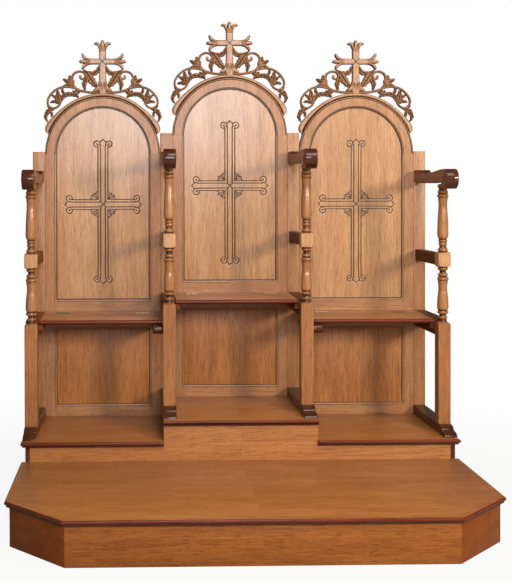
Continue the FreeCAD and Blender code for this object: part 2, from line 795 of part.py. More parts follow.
runners = []
for line, x, level in POST_LINES:
    keep(front_post("front_post_" + line, x, level), "front_post_" + line)
    runners.append(floor_runner("floor_runner_" + line, x, level))
group("floor_runners", runners)

# ---------------------------------------------------------------------------------------
# Arms, and the rails between the front posts and the back.
# ---------------------------------------------------------------------------------------
waist_reach = D["arm_tail_length"] + D["arm_hollow"]    # where the waist starts


def arm(name, x, level):
    """The upper arm: a raised tail at the back, a waist, and a rolled front end."""
    roll = D["volute_radius"]
    roll_reach = D["front_post_reach"] + D["volute_reach"] - roll
    roll_level = D["post_top"] + D["volute_rise"]
    roll_flat = math.sqrt(roll.value ** 2 - D["volute_rise"].value ** 2) / roll.value
    tail = D["arm_tail_length"]
    tail_bottom = D["post_top"] + D["arm_tail_rise"]
    tail_top = tail_bottom + D["arm_tail_height"]
    waist_bottom = D["post_top"] - D["arm_dip"]
    waist_top = waist_bottom + D["arm_thickness"]
    nose = D["arm_nose"]
    corners = [
        (-roll_reach, roll_level + roll, roll),
        (-(roll_reach + roll), roll_level, roll),
        (-roll_reach, roll_level - roll, roll),
        (-(roll_reach - roll * roll_flat), D["post_top"]),
        (-post_back_reach, D["post_top"]),
        (-waist_reach, waist_bottom, -D["front_post_reach"] * 2),
        (ZERO, tail_bottom),
        (ZERO, tail_top),
        (-tail, tail_top, nose),
        (-(tail + nose), tail_top - nose),
        (-waist_reach, waist_top),
        (-post_back_reach, waist_top + D["arm_dip"], -D["front_post_reach"]),
    ]
    body = padded(name, "YZ_Plane", corners, D["arm_width"])
    return put(body, x=x, y=face_y, z=level)


elbow_half = D["elbow_rail_width"] / 2
elbow_top = D["elbow_rail_level"] + D["elbow_rail_height"]
seat_rail_bottom = D["seat_height"] - D["seat_rail_height"]
elbow_rails = []
seat_rails = []
for line, x, level in POST_LINES:
    keep(arm("arm_" + line, x, level), "arm_" + line)
    elbow_rails.append(board("elbow_rail_" + line,
                             (x - elbow_half, ahead(post_back_reach),
                              level + D["elbow_rail_level"]),
                             (x + elbow_half, face_y, level + elbow_top)))
    seat_rails.append(board("seat_rail_" + line,
                            (x - post_half, ahead(post_back_reach), level + seat_rail_bottom),
                            (x + post_half, face_y, level + D["seat_height"])))
group("elbow_rails", elbow_rails)
group("seat_rails", seat_rails)

# ---------------------------------------------------------------------------------------
# Seats: a board with a dark lipping, on hinges along its back edge.
# ---------------------------------------------------------------------------------------
inner_face = inner_line - post_half             # of an inner post, towards the middle stall
bracket_face = inner_line + post_half           # of an inner post, towards an outer stall
outer_face = outer_line - post_half
seat_bottom = D["seat_height"] - D["seat_thickness"]
strip_reach = D["hinge_setback"] - D["hinge_gap"]
board_start = D["hinge_setback"] + D["hinge_gap"]
lipping_start = seat_reach - D["lipping_depth"]
pin_level = D["seat_height"] + D["hinge_leaf_thickness"] * 1.25
pin_radius = D["hinge_knuckle_radius"] / 2
pin_hole_radius = pin_radius + D["hinge_pin_clearance"]
knuckle_clearance = D["hinge_leaf_thickness"] / 4
knuckle_third = D["hinge_length"] / 3


def seat_span(stall):
    """Left and right ends of the space that a seat fills."""
    if stall == "centre":
        return -inner_face, inner_face
    if stall == "left":
        return -outer_face, -bracket_face
    return bracket_face, outer_face


def lipping(name, start, end, level):
    """A dark strip with a half-round nose along the front edge of a seat."""
    nose = D["seat_thickness"] / 2
    corners = [(-lipping_start, ZERO), (-lipping_start, D["seat_thickness"]),
               (-(seat_reach - nose), D["seat_thickness"], nose),
               (-seat_reach, nose, nose), (-(seat_reach - nose), ZERO)]
    body = padded(name, "YZ_Plane", corners, end - start)
    return put(body, x=(start + end) / 2, y=face_y, z=level + seat_bottom)


def along_pin(piece, start, length, level):
    """Lay a round piece along the pin of a hinge."""
    bind(piece, "Height", length)
    piece.Placement.Rotation = Rotation(Vector(0, 1, 0), 90)
    return put(piece, x=start, y=ahead(D["hinge_setback"]), z=level + pin_level)


def pin(name, start, length, level, radius):
    """The round pin of a hinge."""
    piece = doc.addObject("Part::Cylinder", name)
    bind(piece, "Radius", radius)
    return along_pin(piece, start, length, level)


def barrel(name, start, length, level, radius):
    """A knuckle or its bore, drawn with eight sides."""
    piece = doc.addObject("Part::Prism", name)
    piece.Polygon = 8
    bind(piece, "Circumradius", radius)
    return along_pin(piece, start, length, level)


def leaf_plate(name, start, length, near, far, level):
    """A flat stretch of hinge leaf, between two distances in front of the back."""
    return board(name, (start, ahead(far), level + D["seat_height"]),
                 (start + length, ahead(near),
                  level + D["seat_height"] + D["hinge_leaf_thickness"]))


def fixed_leaf(name, middle, level):
    """The leaf on the fixed strip: two outer knuckles, with the pin through them."""
    start = middle - D["hinge_length"] / 2
    last = start + knuckle_third * 2
    plate_edge = D["hinge_setback"] - D["hinge_knuckle_radius"] - knuckle_clearance
    members = [
        leaf_plate(name + "_plate", start, D["hinge_length"],
                   D["hinge_setback"] - D["hinge_leaf_depth"], plate_edge, level),
        pin(name + "_pin", start + knuckle_third / 2, knuckle_third * 2, level, pin_radius)]
    for number, first in (("1", start), ("2", last)):
        members.append(leaf_plate(name + "_root_" + number, first, knuckle_third,
                                  plate_edge, D["hinge_setback"], level))
        members.append(barrel(name + "_knuckle_" + number, first, knuckle_third, level,
                              D["hinge_knuckle_radius"]))
    leaf = doc.addObject("Part::MultiFuse", name)
    leaf.Shapes = members
    return leaf


def moving_leaf(name, middle, level):
    """The leaf on the seat: one middle knuckle, bored for the pin."""
    start = middle - D["hinge_length"] / 2
    plate_edge = D["hinge_setback"] + D["hinge_knuckle_radius"] + knuckle_clearance
    first = start + knuckle_third + knuckle_clearance
    length = knuckle_third - knuckle_clearance * 2
    blank = doc.addObject("Part::MultiFuse", name + "_blank")
    blank.Shapes = [
        leaf_plate(name + "_plate", start, D["hinge_length"], plate_edge,
                   D["hinge_setback"] + D["hinge_leaf_depth"], level),
        leaf_plate(name + "_root", first, length, D["hinge_setback"], plate_edge, level),
        barrel(name + "_knuckle", first, length, level, D["hinge_knuckle_radius"])]
    leaf = doc.addObject("Part::Cut", name)
    leaf.Base = blank
    leaf.Tool = barrel(name + "_bore", first, length, level, pin_hole_radius)
    return leaf


def bracket(name, side, level):
    """A rolled bracket on the outer face of an inner post, under an outer seat."""
    roll = D["bracket_roll"]
    reach = D["bracket_reach"]
    height = D["bracket_height"]
    corners = [(ZERO, ZERO), (ZERO, height), (-(reach - roll), height, roll),
               (-reach, height - roll, roll), (-(reach - roll), height - roll * 2),
               (-(reach - roll * 3), height - roll * 2), (-(reach - roll * 5), ZERO)]
    body = padded(name, "YZ_Plane", corners, D["bracket_width"])
    middle = (bracket_face + D["bracket_width"] / 2) * side
    return put(body, x=middle, y=face_y, z=level + seat_bottom - D["seat_rest_gap"] - height)


strips = []
ledges = []
fixed_leaves = []
for stall, x, level in STALLS:
    start, end = seat_span(stall)
    left = start + D["seat_side_gap"]
    right = end - D["seat_side_gap"]
    under = level + seat_bottom
    top = level + D["seat_height"]
    strips.append(board("hinge_strip_" + stall, (start, ahead(strip_reach), under),
                        (end, face_y, top)))
    seat = board("seat_" + stall, (left, ahead(lipping_start), under),
                 (right, ahead(board_start), top))
    keep(seat, "seat_" + stall)
    keep(lipping("seat_lipping_" + stall, left, right, level), "seat_lipping_" + stall)
    leaves = []
    for hand, middle in (("left", left + D["hinge_inset"] + D["hinge_length"] / 2),
                         ("right", right - D["hinge_inset"] - D["hinge_length"] / 2)):
        fixed_leaves.append(fixed_leaf("fixed_leaf_" + stall + "_" + hand, middle, level))
        leaves.append(moving_leaf("moving_leaf_" + stall + "_" + hand, middle, level))
    group("hinge_leaves_" + stall, leaves)
    rest_top = under - D["seat_rest_gap"]
    for hand, wall in (("left", start), ("right", end)):
        if stall == "centre" or hand == stall:
            near = wall if hand == "left" else wall - D["ledge_width"]
            ledges.append(board("seat_ledge_" + stall + "_" + hand,
                                (near, ahead(post_back_reach), rest_top - D["ledge_height"]),
                                (near + D["ledge_width"], face_y, rest_top)))
group("hinge_strips", strips)
group("hinge_fixed_leaves", fixed_leaves)
group("seat_ledges", ledges)
group("seat_brackets", [bracket("seat_bracket_" + hand, side, side_level)
                        for side, hand in HANDS])

# ---------------------------------------------------------------------------------------
# Crest: a pierced board above each arch, cut as scrolling stems with leaves round a cross.
# Places are X and Z from the middle of the arch, on the right-hand side; the left mirrors it.
# ---------------------------------------------------------------------------------------
UPRIGHT = Vector(0, 0, 1)                       # the carving is drawn flat, then stood up
carving_scale = frame_half.value / 285          # the carver's drawing is for an arch of this radius
BAND_HALF_ANGLE = 66                            # the band ends this far from the vertical
BALL_SIDES = 8
cross_top = D["crest_cross_height"].value
cross_half = D["crest_cross_span"].value / 2
bar_level = cross_top - D["crest_bar_drop"].value
cross_stem = D["crest_cross_stem"].value
cross_bar = D["crest_cross_bar"].value
petal_length = D["crest_petal_length"].value
petal_width = D["crest_petal_width"].value
petal_root = petal_width / 2                    # of a petal, inside the bar that carries it
PETAL_SPREAD = 44                               # degrees from one petal to the next
foot_height = D["crest_foot_height"].value
band_inner = frame_half.value
band_outer = band_inner + D["crest_band"].value
stem = D["crest_vine"].value


def ring_point(radius, degrees):
    """A place on a circle round the middle of the arch, turned from the vertical."""
    angle = math.radians(degrees)
    return Vector(radius * math.sin(angle), radius * math.cos(angle), 0)


def drawn(place):
    """A place of the carver's drawing, on the real crest."""
    return Vector(place[0], place[1], 0) * carving_scale


def flat_piece(points):
    """A flat piece with a many-sided outline."""
    return Part.Face(Part.makePolygon(points + points[:1]))


def ribbon(places, width_start, width_end):
    """A flat stem along a smooth line, with a width that changes evenly."""
    line = Part.BSplineCurve()
    line.interpolate([drawn(place) for place in places])
    first, last = line.FirstParameter, line.LastParameter
    stretches = len(places)
    left, right = [], []
    for i in range(stretches + 1):
        share = i / stretches
        at = first + (last - first) * share
        along = line.tangent(at)[0]
        half = (width_start + (width_end - width_start) * share) / 2
        aside = Vector(-along.y, along.x, 0) * half
        left.append(line.value(at) + aside)
        right.append(line.value(at) - aside)
    return flat_piece(left + right[::-1])


LOBE_SIDES = [(0.35, 0.8), (0.78, 0.9)]         # share of a lobe's length, and of its width


def lobe(base, length, width, degrees):
    """One lobe of a leaf: widest past its middle, and blunt at its tip."""
    angle = math.radians(degrees)
    along = Vector(math.cos(angle), math.sin(angle), 0)
    aside = Vector(-along.y, along.x, 0) * (width / 2)
    left = [base + along * (length * share) + aside * wide for share, wide in LOBE_SIDES]
    right = [base + along * (length * share) - aside * wide for share, wide in LOBE_SIDES]
    return flat_piece([base] + right + [base + along * length] + left[::-1])


def leaf(base, length, width, degrees, spread, lobes):
    """Lobes that fan out from one base, the middle one longest."""
    fan = []
    for i in range(lobes):
        offset = i - (lobes - 1) / 2
        reach = length * (1 - 0.12 * abs(offset))
        fan.append(lobe(base, reach, width, degrees + spread * offset))
    return fan


def drawn_leaf(place, length, width, degrees, spread=0, lobes=1):
    """A leaf of the carver's drawing."""
    return leaf(drawn(place), length * carving_scale, width * carving_scale, degrees, spread, lobes)


def ball(place, radius):
    """The round end of a curl."""
    turns = [2 * math.pi * i / BALL_SIDES for i in range(BALL_SIDES)]
    return flat_piece([drawn(place) + Vector(math.cos(t), math.sin(t), 0) * radius for t in turns])


def bar(corners):
    """A straight-edged piece of the cross."""
    return flat_piece([Vector(x, z, 0) for x, z in corners])


def band():
    """The ring that everything stands on, ending low on both sides of the arch."""
    turns = (-BAND_HALF_ANGLE, 0, BAND_HALF_ANGLE)
    outer = Part.Arc(*[ring_point(band_outer, turn) for turn in turns])
    inner = Part.Arc(*[ring_point(band_inner, turn) for turn in turns])
    ends = [Part.LineSegment(outer.StartPoint, inner.StartPoint),
            Part.LineSegment(outer.EndPoint, inner.EndPoint)]
    edges = [piece.toShape() for piece in (outer, inner, *ends)]
    return Part.Face(Part.Wire(Part.__sortEdges__(edges)))


def cross():
    """A cross with three-lobed ends and a foot that spreads on the band."""
    half_stem = cross_stem / 2
    half_bar = cross_bar / 2
    neck = cross_top - petal_length
    arm_neck = cross_half - petal_length
    root = band_outer - half_stem / 4
    pieces = [bar([(-half_stem, root), (half_stem, root), (half_stem, neck), (-half_stem, neck)]),
              bar([(-arm_neck, bar_level - half_bar), (arm_neck, bar_level - half_bar),
                   (arm_neck, bar_level + half_bar), (-arm_neck, bar_level + half_bar)]),
              bar([(-2 * half_stem, root), (2 * half_stem, root),
                   (half_stem, band_outer + foot_height), (-half_stem, band_outer + foot_height)])]
    for degrees, along in ((90, neck), (0, arm_neck), (180, arm_neck)):
        turn = math.radians(degrees)
        middle = Vector(0, 0 if degrees == 90 else bar_level, 0)
        base = middle + Vector(math.cos(turn), math.sin(turn), 0) * (along - petal_root)
        pieces += leaf(base, petal_length + petal_root, petal_width, degrees, PETAL_SPREAD, 3)
    return pieces


def right_half():
    """Stems and leaves on the right of the cross, as the carver drew them."""
    vine = [(4, 309), (60, 307), (100, 314), (138, 329), (183, 335), (226, 329), (258, 305),
            (275, 274), (270, 244), (242, 228), (216, 240), (207, 260)]
    climb = [(92, 309), (128, 325), (147, 348), (153, 376), (141, 403), (116, 415), (92, 407),
             (81, 388), (88, 371), (106, 368)]
    return [
        ribbon(vine, stem, stem * 0.85),
        ribbon(climb, stem * 0.95, stem * 0.7),
        ball((108, 373), 7),
        ribbon([(12, 432), (26, 412), (48, 399), (84, 403)], 18, 11),
        *drawn_leaf((80, 396), 92, 30, 228),
        *drawn_leaf((85, 388), 70, 17, 266),
        *drawn_leaf((148, 348), 52, 19, 30, 36, 3),
        ribbon([(207, 260), (198, 281), (178, 295), (154, 298), (122, 290)], 10, 15),
        *drawn_leaf((136, 296), 34, 15, 88),
        *drawn_leaf((212, 258), 66, 17, 104, 26, 2),
        *drawn_leaf((212, 258), 50, 15, 26, 50, 2),
        ribbon([(244, 228), (262, 216), (279, 198), (285, 178), (272, 161)], 12, 8),
        *drawn_leaf((258, 218), 30, 15, 20),
    ]


def carved_crest():
    """Every piece given its thickness and fused into one board."""
    right = right_half()
    left = [face.mirror(Vector(0, 0, 0), Vector(1, 0, 0)) for face in right]
    pieces = [face.extrude(UPRIGHT * -D["crest_thickness"].value)
              for face in [band()] + cross() + right + left]
    return pieces[0].multiFuse(pieces[1:]).removeSplitter()


crest_shape = carved_crest()
for stall, x, level in STALLS:
    crest = doc.addObject("Part::Feature", "crest_" + stall)
    crest.Shape = crest_shape
    crest.Placement = Placement(
        Vector(x.value, (face_y + D["crest_setback"]).value, (level + D["spring_height"]).value),
        Rotation(Vector(1, 0, 0), 90))
    keep(crest, "crest_" + stall)

# ---------------------------------------------------------------------------------------
# Check every object, then write one file for each sub-part.
# ---------------------------------------------------------------------------------------
doc.recompute()
for item in doc.Objects:
    if "Invalid" in item.State or "Error" in item.State:
        raise RuntimeError(item.Label + " did not build: " + ", ".join(item.State))
for piece in KEPT:
    shape = piece.Shape
    if shape.isNull() or not shape.isValid() or not shape.Solids:
        raise RuntimeError(piece.Label + " has no valid solid")
for piece in KEPT:
    piece.Shape.exportStep(os.path.join("parts", piece.Label + ".step"))
print(len(KEPT), "sub-parts written")
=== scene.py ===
# %% [markdown]
# # A carved choir stall for three
#
# Three places stand side by side.  Each has a tall round-headed back with an incised cross, a
# pierced crest, and a seat that tips up.  Turned posts carry dark rolled arms, and a wide step
# runs along the front.  This lesson dresses the joiner's solid model: plain boards keep their
# solids and get a finish; turned, carved and moulded pieces are worked out here as surfaces.

# %% Load the solid model
import bmesh
import bpy
import math
import numpy as np
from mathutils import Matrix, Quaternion, Vector


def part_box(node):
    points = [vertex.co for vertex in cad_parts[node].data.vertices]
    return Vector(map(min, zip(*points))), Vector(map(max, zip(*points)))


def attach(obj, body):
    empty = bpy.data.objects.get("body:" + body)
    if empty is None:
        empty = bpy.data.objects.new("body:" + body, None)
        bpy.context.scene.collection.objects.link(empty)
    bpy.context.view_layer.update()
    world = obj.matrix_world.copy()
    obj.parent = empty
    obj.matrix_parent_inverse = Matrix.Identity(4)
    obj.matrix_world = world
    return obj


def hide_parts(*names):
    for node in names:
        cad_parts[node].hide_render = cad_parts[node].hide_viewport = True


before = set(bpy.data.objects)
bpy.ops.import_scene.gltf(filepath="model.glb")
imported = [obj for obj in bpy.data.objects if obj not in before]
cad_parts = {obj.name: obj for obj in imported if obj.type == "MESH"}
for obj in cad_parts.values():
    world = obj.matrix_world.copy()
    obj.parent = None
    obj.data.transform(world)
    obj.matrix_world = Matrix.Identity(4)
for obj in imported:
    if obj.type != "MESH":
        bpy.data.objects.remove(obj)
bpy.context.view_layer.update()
MM = 0.001
SIDES = ("left", "centre", "right")
LINES = ("outer_left", "inner_left", "inner_right", "outer_right")

# %% [markdown]
# Every size that a later cell needs is read from the solid model's own boxes, so the dressed
# pieces sit exactly where the joiner put them.

# %% Places read from the model
def middle(node, axis="x"):
    """The middle of a solid along one axis."""
    return sum(getattr(corner, axis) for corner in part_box(node)) / 2


def half_width(node):
    """Half a solid's length along x."""
    low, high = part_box(node)
    return (high.x - low.x) / 2


def sides(stem):
    """The names of one piece in the three places."""
    return [stem + side for side in SIDES]


def link(name, data):
    """A new object for data, in the scene."""
    made = bpy.data.objects.new(name, data)
    bpy.context.scene.collection.objects.link(made)
    return made


def dress(mesh, *materials):
    """Give a mesh its finishes, in place of any that it had."""
    mesh.materials.clear()
    for material in materials:
        mesh.materials.append(material)


FACE_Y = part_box("back_stiles_centre")[0].y          # front face of the back
FLOOR = {side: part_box("deck_" + side)[1].z for side in SIDES}
MIDDLE = {side: middle("arch_head_" + side) for side in SIDES}
SPRING = {side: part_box("arch_head_" + side)[0].z for side in SIDES}
ARCH_OUTER = half_width("arch_head_centre") / MM
LINE_X = {line: middle("front_post_" + line) for line in LINES}
LINE_FLOOR = {line: FLOOR["centre" if "inner" in line else line.split("_")[1]] for line in LINES}
POST_HALF = half_width("front_post_inner_left")
POST_Y = middle("front_post_inner_left", "y")
print("post lines", {line: round(x, 3) for line, x in LINE_X.items()})

# %% [markdown]
# ## Camera
#
# The stall is seen from a standing height, a little left of its middle, with its uprights
# parallel.  The camera points almost straight at the wall, and its lens is shifted across
# and down to bring the stall into the picture, as with a view camera.

# %% Camera
CAMERA_PLACE = (-0.4649, -4.2707, 1.3687)
CAMERA_TURN = math.radians(1.205)                    # to the right
CAMERA_TILT = math.radians(-0.578)                   # downwards
CAMERA_ROLL = math.radians(0.139)
LENS_MM = 61.286
LENS_SHIFT = (0.17, -0.15)

lens = bpy.data.cameras.new("camera")
lens.lens, lens.sensor_width, lens.clip_end = LENS_MM, 36, 60
lens.shift_x, lens.shift_y = LENS_SHIFT
camera = link("camera", lens)
camera.location = CAMERA_PLACE
aim = Vector((math.sin(CAMERA_TURN) * math.cos(CAMERA_TILT),
              math.cos(CAMERA_TURN) * math.cos(CAMERA_TILT), math.sin(CAMERA_TILT)))
camera.rotation_mode = "QUATERNION"
camera.rotation_quaternion = Quaternion(aim, CAMERA_ROLL) @ aim.to_track_quat("-Z", "Y")
bpy.context.scene.camera = camera
print("camera looks along", [round(v, 3) for v in aim])

# %% [markdown]
# ## Writing shader maths as expressions
#
# A finish is mostly arithmetic: how far along the grain, which stave, how dark.  A small class
# round a socket lets it be written the ordinary way, and each operator adds its Math node.

# %% Sockets as numbers
class Reading:
    """A number that varies over a surface.  Operators on it add Math nodes."""

    def __init__(self, finish, socket):
        self.finish, self.socket = finish, socket

    def maths(self, operation, *values):
        return self.finish.number(operation, self, *values)

    def __add__(self, other): return self.maths("ADD", other)
    def __sub__(self, other): return self.maths("SUBTRACT", other)
    def __mul__(self, other): return self.maths("MULTIPLY", other)
    def __truediv__(self, other): return self.maths("DIVIDE", other)
    def __rsub__(self, other): return self.finish.number("SUBTRACT", other, self)
    __radd__, __rmul__ = __add__, __mul__

    def floor(self): return self.maths("FLOOR")
    def power(self, exponent): return self.maths("POWER", exponent)
    def sine(self): return self.maths("SINE")
    def between(self, low, high):
        """0 below low, 1 above high, and a smooth change from one to the other."""
        return self.finish.node("MapRange", {"Value": self, "From Min": low, "From Max": high},
                                {"interpolation_type": "SMOOTHSTEP"})


class Finish:
    """The nodes of a material or a world.  One method adds any node; the rest save writing."""

    def __init__(self, owner, shader="Principled BSDF"):
        owner.use_nodes = True
        self.owner, self.tree = owner, owner.node_tree
        self.shader = self.tree.nodes[shader]

    def node(self, kind, sockets, settings=None, output=0):
        """Add a node, make its settings, and fill its sockets, called by name or number."""
        made = self.tree.nodes.new("ShaderNode" + kind)
        for key, value in (settings or {}).items():
            setattr(made, key, value)
        for key, value in sockets.items():
            self.feed(made.inputs[key], value)
        return Reading(self, made.outputs[output])

    def feed(self, socket, value):
        if isinstance(value, Reading):
            self.tree.links.new(value.socket, socket)
        else:
            socket.default_value = value

    def number(self, operation, *values):
        return self.node("Math", dict(enumerate(values)), {"operation": operation})

    def place(self):
        """X, Y and Z of the surface, in metres."""
        split = self.node("SeparateXYZ", {0: self.node("TexCoord", {}, output="Object")})
        return [Reading(self, out) for out in split.socket.node.outputs]

    def point(self, x, y, z):
        return self.node("CombineXYZ", {0: x, 1: y, 2: z})

    def noise(self, where, scale=1.0, detail=2.0, rough=0.5):
        return self.node("TexNoise", {"Vector": where, "Scale": scale, "Detail": detail,
                                      "Roughness": rough})

    def mix(self, share, first, second, way="MIX"):
        """Blend two colours.  Where a colour is a list it is written on the socket."""
        first, second = [value if isinstance(value, Reading) else (*value, 1.0)
                         for value in (first, second)]
        return self.node("Mix", {"Factor": share, 6: first, 7: second},
                         {"data_type": "RGBA", "blend_type": way}, 2)

    def bump(self, height, distance, strength):
        """A normal that leans with the slope of height."""
        return self.node("Bump", {"Height": height, "Distance": distance, "Strength": strength})

    def shade(self, **inputs):
        for key, value in inputs.items():
            self.feed(self.shader.inputs[key.replace("_", " ")], value)
        return self.owner

# %% [markdown]
# ## Varnished oak
#
# Oak shows four things at once.  Staves, glued edge to edge, differ a little in tone.  Growth
# lines run along each stave and wander.  Short dark pores and pale ray flecks lie between
# them.  Each is a noise stretched along the grain by a different amount, read in metres, so
# that the figure has its true size on every board.

# %% The oak finish
GRAIN_AXES = {"x": (0, 2, 1), "y": (1, 2, 0), "z": (2, 0, 1)}    # along, across, through
SHADE_AND_JOINT_TONE = (0.028, 0.011, 0.006)                                    # painted shade in carved recesses and creases, and the tone of dark joints
STAVE_LENGTH = 2.6
UNJOINED = 4.0                                                   # wider than any piece
APART_ALONG = 3.7                                                # the figure's shift per stave
RING_ANGLE = 640.0                                               # growth, in radians per metre


def oak(name, grain, pale, deep, dark, stave=UNJOINED, gloss=0.40, coat=0.10, figure=1.0,
        shine=0.32, clear=0.22):
    """Varnished oak.  grain is the axis that it runs along; the tones go from pale to dark.

    Carved recesses, creases and undersides take painted shade, and joints their dark tone, by the
    surface's own "recess" number."""
    finish = Finish(bpy.data.materials.new(name))
    axes = finish.place()
    along, across, through = [axes[i] for i in GRAIN_AXES[grain]]
    number = (across / stave + 0.37).floor()
    one_stave = finish.point(number, (along / STAVE_LENGTH).floor(), 3.0)
    stave_tone = finish.node("TexWhiteNoise", {"Vector": one_stave})
    shifted = along + stave_tone * APART_ALONG

    def grained(wide, long, detail, rough=0.5):
        """Noise with features of 1/wide across the grain and 1/long along it, in metres."""
        where = finish.point(across * wide, shifted * long, through * wide)
        return finish.noise(where, 1.0, detail, rough)

    sway, broad = grained(6.0, 1.3, 2.0), grained(17.0, 2.4, 3.0)
    rings = ((across + through * 0.6 + sway * 0.11) * RING_ANGLE).sine() * 0.5 + 0.5
    streaks, bands = grained(330.0, 6.0, 4.0, 0.65), grained(120.0, 5.0, 3.0, 0.6)
    flecks, pores = grained(290.0, 17.0, 2.0), grained(1150.0, 42.0, 1.0)
    rays = grained(210.0, 80.0, 1.0)
    pore_mask = pores.between(0.57, 0.70)
    tone = broad * 0.62 + stave_tone * 0.20 + streaks * 0.38 - 0.16
    wood = finish.mix(tone.between(0.24, 0.70), pale, deep)
    for mask, share, colour, way in (
            (rings.power(2.0) * broad.between(0.40, 0.62), 0.26, deep, "MIX"),
            (streaks.between(0.50, 0.72), 0.40, deep, "MULTIPLY"),
            (bands.between(0.50, 0.68), 0.17, deep, "MULTIPLY"),
            ((1.0 - bands).between(0.52, 0.70), 0.45, pale, "MIX"),
            (flecks.between(0.52, 0.68), 0.44, dark, "MIX"),
            (rays.between(0.58, 0.72), 0.40, pale, "MIX")):
        wood = finish.mix(mask * (share * figure), wood, colour, way)
    wood = finish.mix(pore_mask * 0.55, wood, dark)
    # Painted shade in recesses, creases and undersides, and the dark joints, mixed in by their
    # number
    recess = finish.node("Attribute", {}, {"attribute_name": "recess"}, 2)
    wood = finish.mix(recess * 0.96, wood, SHADE_AND_JOINT_TONE)
    height = (1.0 - pore_mask) * 0.7 + streaks * 0.3
    return finish.shade(
        Base_Color=wood, Roughness=(pore_mask * 0.18 + broad * 0.12 + (gloss - 0.06)),
        Normal=finish.bump(height, 0.00035, 0.6), Coat_Weight=coat, Coat_Roughness=clear,
        Specular_IOR_Level=shine)


HONEY = ((0.40, 0.182, 0.074), (0.29, 0.112, 0.038), (0.10, 0.030, 0.010))
PALE = ((0.46, 0.240, 0.106), (0.34, 0.150, 0.054), (0.13, 0.045, 0.015))
AMBER = ((0.44, 0.172, 0.050), (0.31, 0.110, 0.028), (0.11, 0.030, 0.008))
GOLD = ((0.40, 0.152, 0.040), (0.30, 0.099, 0.022), (0.10, 0.027, 0.007))
BROWN = ((0.29, 0.094, 0.018), (0.20, 0.058, 0.010), (0.07, 0.018, 0.003))
UMBER = ((0.240, 0.060, 0.008), (0.165, 0.037, 0.004), (0.05, 0.011, 0.001))
LEG = ((0.34, 0.135, 0.042), (0.25, 0.085, 0.022), (0.09, 0.025, 0.007))
BLOCK = ((0.47, 0.255, 0.120), (0.37, 0.175, 0.070), (0.16, 0.055, 0.018))
LEAF = ((0.31, 0.138, 0.062), (0.205, 0.082, 0.034), (0.080, 0.026, 0.010))
CARVED = ((0.41, 0.222, 0.122), (0.32, 0.152, 0.074), (0.14, 0.050, 0.020))
RUSSET = ((0.165, 0.050, 0.018), (0.105, 0.026, 0.008), (0.040, 0.010, 0.004))
SABLE = ((0.340, 0.125, 0.062), (0.230, 0.074, 0.034), (0.075, 0.020, 0.010))
WALNUT = ((0.084, 0.020, 0.007), (0.040, 0.009, 0.003), (0.010, 0.003, 0.001))
MAHOGANY = ((0.165, 0.028, 0.008), (0.100, 0.017, 0.005), (0.025, 0.006, 0.002))
PINE = ((0.62, 0.43, 0.23), (0.50, 0.31, 0.14), (0.25, 0.12, 0.05))
OAK_UPRIGHT = oak("oak upright grain", "z", *HONEY, stave=0.082, coat=0.35, clear=0.34)
OAK_PANEL = oak("oak panel", "z", *PALE, stave=0.078, gloss=0.34, coat=0.60, figure=0.95)
OAK_LOWER = oak("oak lower panel", "z", *AMBER, stave=0.078, figure=1.2)
OAK_LEVEL = oak("oak level grain", "x", *HONEY, stave=0.082, coat=0.35, clear=0.34)
OAK_DEPTH = oak("oak front to back grain", "y", *RUSSET, coat=0.0, shine=0.04)
OAK_DECK = oak("oak deck", "x", *GOLD, stave=0.095, gloss=0.30)
OAK_STEP = oak("oak upper step front", "x", *GOLD, stave=0.16, figure=1.1)
OAK_FRONT = oak("oak step front", "x", *BROWN, stave=0.16, coat=0.05, figure=1.15, shine=0.14)
# The chamfer boards take a darker copy of the step front's oak: painted shade on the corners that
# turn from the light.
OAK_SHADED_CHAMFER = oak("oak step corner in painted shade", "x", *UMBER, stave=0.16, coat=0.0, shine=0.08)
OAK_LEG = oak("oak leg", "z", *LEG)
OAK_BLOCK = oak("oak block", "z", *BLOCK, figure=0.6)
OAK_SIDE = oak("oak step side", "y", *BROWN, stave=0.16, coat=0.05, figure=1.4, shine=0.14)
POLISHED = {"gloss": 0.30, "coat": 0.5, "figure": 0.8, "shine": 0.2, "clear": 0.10}
OAK_TURNED = oak("oak turned", "z", *LEG, **POLISHED)
# The swellings take a paler copy of the turned oak: painted sheen on the turnings.
OAK_VASE_SHEEN = oak("oak turned swelling with painted sheen", "z", *HONEY, **POLISHED)
OAK_CARVED = oak("oak carved", "x", *CARVED, gloss=0.34, figure=0.7, coat=0.35, clear=0.30)
OAK_LEAF = oak("oak carved leaves", "x", *LEAF, gloss=0.34, figure=0.7)
DARK_DEPTH = oak("walnut front to back grain", "y", *WALNUT, gloss=0.34, coat=0.50,
                 shine=0.05, clear=0.13)
DARK_SIDE = oak("walnut sawn side", "y", *SABLE, gloss=0.36, coat=0.08, shine=0.15)
DARK_LEVEL = oak("mahogany level grain", "x", *MAHOGANY, gloss=0.34, coat=0.14,
                 shine=0.10, clear=0.12)
PINE_BEARER = oak("pine bearer", "y", *PINE, stave=0.3, gloss=0.6, coat=0.0)
PINE_BOARD = oak("pine board", "x", *PINE, stave=0.14, gloss=0.6, coat=0.0)
print(len(bpy.data.materials), "finishes")

# %% [markdown]
# ## Metal for the small fixings
#
# Hinges are bronzed steel and screws are plain.  A fine noise varies the roughness, as
# handling does.

# %% The metal finish
def metal(name, bright, dull):
    """Brushed metal: noise drawn out along x, and smudges between two tints."""
    finish = Finish(bpy.data.materials.new(name))
    x, y, z = finish.place()
    brushed = finish.noise(finish.point(x * 90.0, y * 2600.0, z * 2600.0))
    smudge = finish.noise(finish.point(x, y, z), 120.0)
    tint = finish.mix(smudge.between(0.4, 0.7), bright, dull)
    return finish.shade(Base_Color=tint, Metallic=1.0, Roughness=brushed * 0.2 + 0.24,
                        Normal=finish.bump(brushed, 0.00005, 0.5))


